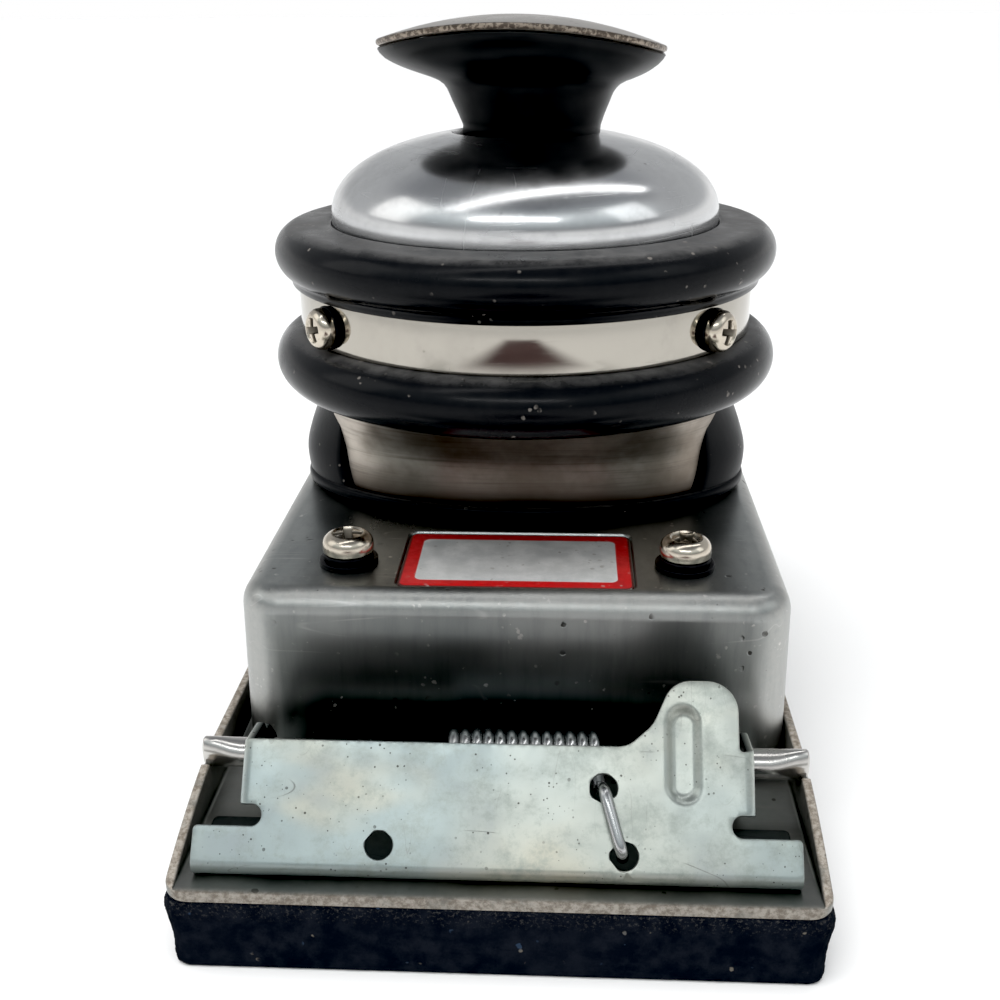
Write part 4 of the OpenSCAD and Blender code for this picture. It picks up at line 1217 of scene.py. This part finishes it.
def sheet_metal(name, outline, holes, thick, xs, ys):
    """A flat sheet with rounded edges, its outer face at z = 0, and inner points at columns xs and rows ys."""
    edge, step = 0.22, 0.55
    area = sum(a[0] * b[1] - b[0] * a[1] for a, b in zip(outline, outline[1:] + outline[:1]))
    loops = [even_steps(outline if area > 0 else outline[::-1], step)]
    loops += [arc(hx, hy, hr, 360, 0, 40)[:-1] for hx, hy, hr in holes]
    section = [(edge, 0.0)] + [(edge * (1 - sin(q)), -edge * (1 - cos(q)))
                               for q in (radians(a) for a in (30, 60, 90))]
    section += [(i, -thick - z) for i, z in reversed(section)]
    verts, faces, starts = [], [], []
    for loop in loops:
        starts.append(len(verts))
        for amount, z in section:
            verts += [(x, y, z) for x, y in (inset_loop(loop, amount) if amount else loop)]
        n = len(loop)
        for k in range(len(section) - 1):
            a, b = starts[-1] + k * n, starts[-1] + (k + 1) * n
            faces += [(a + i, b + i, b + (i + 1) % n, a + (i + 1) % n) for i in range(n)]
    rims = [inset_loop(loop, edge) for loop in loops]
    flat, edges, owner = [], [], []
    for loop, rim, start in zip(loops, rims, starts):
        n = len(loop)
        edges += [(len(flat) + i, len(flat) + (i + 1) % n) for i in range(n)]
        owner += [start + i for i in range(n)]
        flat += [Vector(p) for p in rim]
    deep = inset_loop(rims[0], 0.3)
    for x in xs:
        for y in ys:
            if inside(deep, x, y) and all(hypot(x - hx, y - hy) > hr + 0.5 for hx, hy, hr in holes):
                flat.append(Vector((x, y)))
                owner.append(None)
    points, _, tris, sources, _, _ = delaunay_2d_cdt(flat, edges, [], 1, 1e-5)
    top, low = [], []
    for p, source in zip(points, sources):
        if source and owner[source[0]] is not None:
            own = owner[source[0]]
            n = len(loops[max(i for i, start in enumerate(starts) if start <= own)])
            top.append(own)
            low.append(own + (len(section) - 1) * n)
        else:
            verts += [(p.x, p.y, 0.0), (p.x, p.y, -thick)]
            top.append(len(verts) - 2)
            low.append(len(verts) - 1)
    for tri in tris:
        c = sum((points[i] for i in tri), Vector((0, 0))) / 3
        if any(hypot(c.x - hx, c.y - hy) < hr for hx, hy, hr in holes) or not inside(loops[0], c.x, c.y):
            continue
        faces += [tuple(top[i] for i in tri), tuple(low[i] for i in reversed(tri))]
    return fix_normals(mesh_object(name, verts, faces))


def rib_depth(x, q):
    """Depth of the stiffening channel pressed into the plate and the thumb tab."""
    along = max(RIB_FOOT, min(RIB_HEAD, q))
    d = hypot(x - RIB_X, q - along)
    return 0.95 * smooth(1 - (d - RIB_HALF * 0.45) / (RIB_HALF * 0.62))


def bend_sheet(x, q, n):
    """Moves a point of the flat sheet to where the press puts it."""
    n -= rib_depth(x, q)
    past = abs(x) - EAR_X
    if past > 0 and q > SLOT_S:
        turn = min(past / EAR_LEN, 1.0) * pi / 2
        r = EAR_BEND + n
        x = copysign(EAR_X + r * sin(turn), x)
        n = -EAR_BEND + r * cos(turn) - max(0.0, past - EAR_LEN)
    if q < BEND_S:
        turn = min((BEND_S - q) / BEND_LEN, 1.0) * BEND_TURN
        r = BEND_R + n
        rest = max(0.0, BEND_S - q - BEND_LEN)
        q = BEND_S - r * sin(turn) - rest * cos(turn)
        n = -BEND_R + r * cos(turn) - rest * sin(turn)
    return Vector((x, q, n))


def grid(start, end, step):
    """Evenly spaced numbers from start to end, about a step apart."""
    n = max(1, round((end - start) / step))
    return [start + (end - start) * k / n for k in range(n + 1)]


def build_clamp_mesh(name):
    holes = [(x, q, 2.0) for x, q in HOLES]
    holes += [(sx * ear_x(ROD_N), ROD_S, ROD_R + 0.08) for sx in (-1, 1)]
    ear_cols = grid(EAR_X, EAR_X + EAR_LEN, 0.26)
    xs = grid(-50, -EAR_X - EAR_LEN - 1, 1.3) + [-x for x in ear_cols] + grid(-EAR_X + 1, RIB_X - 4, 1.6)
    xs += grid(RIB_X - 3.3, RIB_X + 3.3, 0.33) + grid(RIB_X + 4.3, EAR_X - 1, 1.4) + ear_cols
    xs += grid(EAR_X + EAR_LEN + 1, 50, 1.3)
    ys = grid(-12, BEND_S - BEND_LEN - 0.8, 1.6) + grid(BEND_S - BEND_LEN, BEND_S, 0.24)
    ys += grid(BEND_S + 1, RIB_FOOT - 4, 1.4) + grid(RIB_FOOT - 3.2, RIB_HEAD + 3.2, 0.4)
    ys += grid(RIB_HEAD + 4, 32, 1.0)
    o = sheet_metal(name, clamp_outline(), holes, CLAMP_T, xs, ys)
    mark_wear_and_shade(o, lambda p: 1.0 if p.z < -CLAMP_T / 2 else 0.0)  # the inner side gets painted shade
    for v in o.data.vertices:
        v.co = bend_sheet(*(v.co / MM)) * MM
    return flatten_shading(crease(place(o, CLAMP_FOOT, Matrix.Rotation(SLOPE, 4, "X")), 60))


def on_clamp(x, s, h):
    """A point h above the clamp plate's outer face."""
    c, q = cos(SLOPE), sin(SLOPE)
    return CLAMP_FOOT + Vector((x, s * c - h * q, s * q + h * c))


def build_spring_mesh(name):
    turns, coil_r, wire_r = 13, 3.55, 0.9
    x0, x1 = -8.6, 14.2
    first, total = 235, 360 * turns - 95
    n = int(22 * total / 360)
    coil = []
    for i in range(n + 1):
        turned = rotation(first + total * i / n, "X") @ Vector((0, coil_r, 0))
        coil.append(ROD + turned + Vector((x0 + (x1 - x0) * i / n, 0, 0)))
    rest = FLOOR + wire_r
    rear = smooth_path([(x0 - 0.3, -58.2, rest + 0.15), (x0 - 0.1, -60.5, rest + 0.9), coil[0]], 6)
    hook = [on_clamp(*p) for p in (
        (14.9, 14.3, -4.5), (15.1, 14.2, -1.5), (15.4, 13.6, 0.3), (15.8, 12.2, 1.0), (17.2, 7.2, 1.0),
        (17.8, 5.4, 0.6), (18.0, 4.9, -0.6), (18.1, 4.7, -2.6))]
    return tube(name, rear[:-1] + coil + smooth_path([coil[-1]] + hook, 7)[1:], wire_r)


def build_clamps():
    clamp, spring = build_clamp_mesh("front paper clamp"), build_spring_mesh("front clamp spring")
    pairs = ((clamp, spring, "front", 1),
             (turned_copy(clamp, "rear paper clamp"), turned_copy(spring, "rear clamp spring"), "rear", -1))
    for plate, wire, end, sign in pairs:
        body = "clamp_" + end
        finish_piece(plate, "zinc_steel", end + "_clamp", body)
        wire.data.materials.append(MAT["spring_steel"])
        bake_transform(wire)
        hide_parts(end + "_clamp_spring")


# ---- inlet
def build_inlet():
    """A hexagon with chamfered corners, and a few turns of thread in its bore."""
    flats, z = bushing.half.z, bushing.mid.z
    start, end, bore, pitch = 34.0, bushing.hi.y, 5.6, 0.68
    sixth = pi / 3

    def ring(y, radius):
        """A ring of points whose radius is a number or depends on the angle."""
        row = []
        for c, q in unit_circle(96):
            r = radius(atan2(q, c) % sixth) if callable(radius) else radius
            row.append((MOTOR.x + r * c, y, z + r * q))
        return row

    def hexagon(y, cut=2 * flats):
        return ring(y, lambda t: min(flats / cos(t - sixth / 2), cut))
    rows = [ring(28, 6.4), ring(start, 6.4), hexagon(start, flats + 0.05), hexagon(start + 0.7, flats + 0.6),
            hexagon(start + 1.4), hexagon(end - 1.4), hexagon(end - 0.7, flats + 0.6),
            hexagon(end, flats + 0.05), ring(end, bore + 0.9)]
    rows += [ring(end - 0.3 - k * pitch, bore + (0.1 if k % 2 else 0.45)) for k in range(19)]
    rows += [ring(end - 14, 3.0), ring(28, 3.0)]
    finish_piece(crease(loft("inlet bushing", rows), 30), "brass_fitting", "inlet_bushing")


# ---- build all
build_shroud()
build_label()
build_deck_fasteners()
build_neck()
build_collar()
build_rings()
build_band_fasteners()
build_dome()
build_knob()
build_platen()
build_pad()
build_rod("front pivot rod", "front_rod", -1)
build_rod("rear pivot rod", "rear_rod", 1)
build_clamps()
build_inlet()


# ---- camera, floor and light
def place_camera():
    """The camera that the object's proportions were fitted with."""
    yaw, pitch, roll = -0.054, 0.371, 0.007
    at = Vector((8.805, -230.172, 127.603)) * MM
    fwd = Vector((sin(yaw) * cos(pitch), cos(yaw) * cos(pitch), -sin(pitch)))
    right = Vector((cos(yaw), -sin(yaw), 0))
    down = fwd.cross(right)
    r = right * cos(roll) + down * sin(roll)
    d = -right * sin(roll) + down * cos(roll)
    cam = add_object("camera", bpy.data.cameras.new("camera"))
    cam.matrix_world = Matrix.Translation(at) @ Matrix((r, -d, -fwd)).transposed().to_4x4()
    cam.data.sensor_width = 36
    cam.data.lens = 45.23
    cam.data.clip_start = 0.01
    bpy.context.scene.camera = cam


PAPER = (0.83, 0.825, 0.82)


def studio_sheet(name, x0, x1, y0, y1, z):
    """A level sheet in the studio, in millimetres, and its dull material."""
    o = mesh_object(name, [(x0, y0, z), (x1, y0, z), (x1, y1, z), (x0, y1, z)], [(0, 1, 2, 3)])
    m = Nodes(name, Metallic=0.0, Roughness=0.9)
    o.data.materials.append(m.mat)
    return o, m


def build_floor():
    reach = 40000
    _, m = studio_sheet("floor", -reach, reach, -reach, reach, 0)
    m.set("Specular IOR Level", 0.1)
    m.paint(m.noise(3, 2), PAPER, (0.845, 0.84, 0.835))


def flag(name, x0, x1, y0, y1, z, dark, light):
    """A dark card on the floor that only reflections see, fading out to the floor's colour at its edges: it
    paints dark reflections into glossy parts.
    """
    o, m = studio_sheet(name, x0, x1, y0, y1, z)
    w, l = (x1 - x0) * MM, (y1 - y0) * MM
    fade = m.larger(m.ramp(m.apart(m.axis("X"), (x0 + x1) / 2 * MM), w * 0.22, w * 0.5),
                    m.ramp(m.apart(m.axis("Y"), (y0 + y1) / 2 * MM), l * 0.36, l * 0.5))
    m.paint(fade, m.mix(m.noise(9, 3), dark, light), PAPER)
    o.visible_camera = o.visible_diffuse = o.visible_shadow = o.visible_transmission = False


def lamp(name, kind, energy, direction):
    """A light that shines along a direction."""
    o = add_object(name, bpy.data.lights.new(name, kind))
    o.data.energy = energy
    o.rotation_euler = Vector(direction).to_track_quat("-Z", "Y").to_euler()
    return o


def softbox(name, at, look, size, power, colour=(1, 1, 1)):
    o = lamp(name, "AREA", power, Vector(look) - Vector(at))
    o.location = at
    o.data.shape = "RECTANGLE"
    o.data.size, o.data.size_y = size
    o.data.color = colour


def sun(direction, strength, angle):
    o = lamp("sun", "SUN", strength, direction)
    o.data.angle = radians(angle)
    o.visible_glossy = False


def room():
    """A plain studio: bright behind and at the sides, dimmer in front, with a pale ceiling."""
    world = bpy.data.worlds.new("studio")
    bpy.context.scene.world = world
    world.use_nodes = True
    g = Graph(world.node_tree, "Generated")
    height = g.times(g.plus(g.axis("Z"), 1.0), 0.5)

    def sky(stops):
        """Colours by height, from -1 straight down to 1 straight up."""
        n = g.add("ValToRGB", Fac=height)
        spots = n.color_ramp.elements
        spots.remove(spots[0])
        for k, (at, colour) in enumerate(stops):
            spot = spots.new((at + 1) / 2) if k else spots[0]
            spot.position = (at + 1) / 2
            spot.color = (*colour, 1)
        return n.outputs["Color"]
    white, ceiling = (1.0, 1.0, 1.0), (0.25, 0.26, 0.27)
    front = sky([(-0.1, white), (0.13, white), (0.24, (0.24, 0.25, 0.26)), (0.5, (0.62, 0.68, 0.7)),
                 (0.68, (0.92, 0.98, 1.0)), (0.8, (0.4, 0.43, 0.45)), (0.9, (0.22, 0.23, 0.25)),
                 (1.0, ceiling)])
    back = sky([(-0.1, white), (0.1, white), (0.22, (0.55, 0.56, 0.57)), (0.6, (0.5, 0.51, 0.52)),
                (0.8, (0.26, 0.27, 0.29)), (1.0, ceiling)])
    background = g.tree.nodes["Background"]
    g.put(background.inputs["Color"], g.mix(g.ramp(g.axis("Y"), -0.35, 0.25), front, back))
    background.inputs["Strength"].default_value = 1.0


def light_scene():
    view = bpy.context.scene.view_settings
    view.view_transform = "Standard"
    view.use_curve_mapping = True
    view.curve_mapping.black_level = (0.01, 0.01, 0.01)
    view.curve_mapping.update()
    room()
    sun((0.15, 0.2, -1), 2.5, 60)
    softbox("overhead", (0.02, -0.03, 0.75), (0, 0, 0.1), (1.2, 0.09), 1.2)
    softbox("front_strip", (-0.06, -0.7, 0.68), (0, 0, 0.09), (0.7, 0.05), 1.1)
    softbox("left_window", (-0.75, -0.06, 0.55), (0, 0, 0.1), (0.46, 0.55), 0.75, (1.0, 0.98, 0.95))
    softbox("right_window", (0.75, -0.22, 0.62), (0, 0, 0.1), (0.4, 0.5), 0.45)


place_camera()
build_floor()
FRONT = platen.lo.y
# painted dark reflections: the front flag darkens the shroud's front, and the camera flag stands for the
# camera's dark reflection in the band
flag("front_flag", -150, 150, FRONT - 100, FRONT - 2, 0.5, (0.1, 0.11, 0.105), (0.24, 0.235, 0.215))
flag("camera_flag", -110, 122, FRONT - 620, FRONT - 60, 0.6, (0.03, 0.015, 0.018), (0.12, 0.07, 0.07))
light_scene()
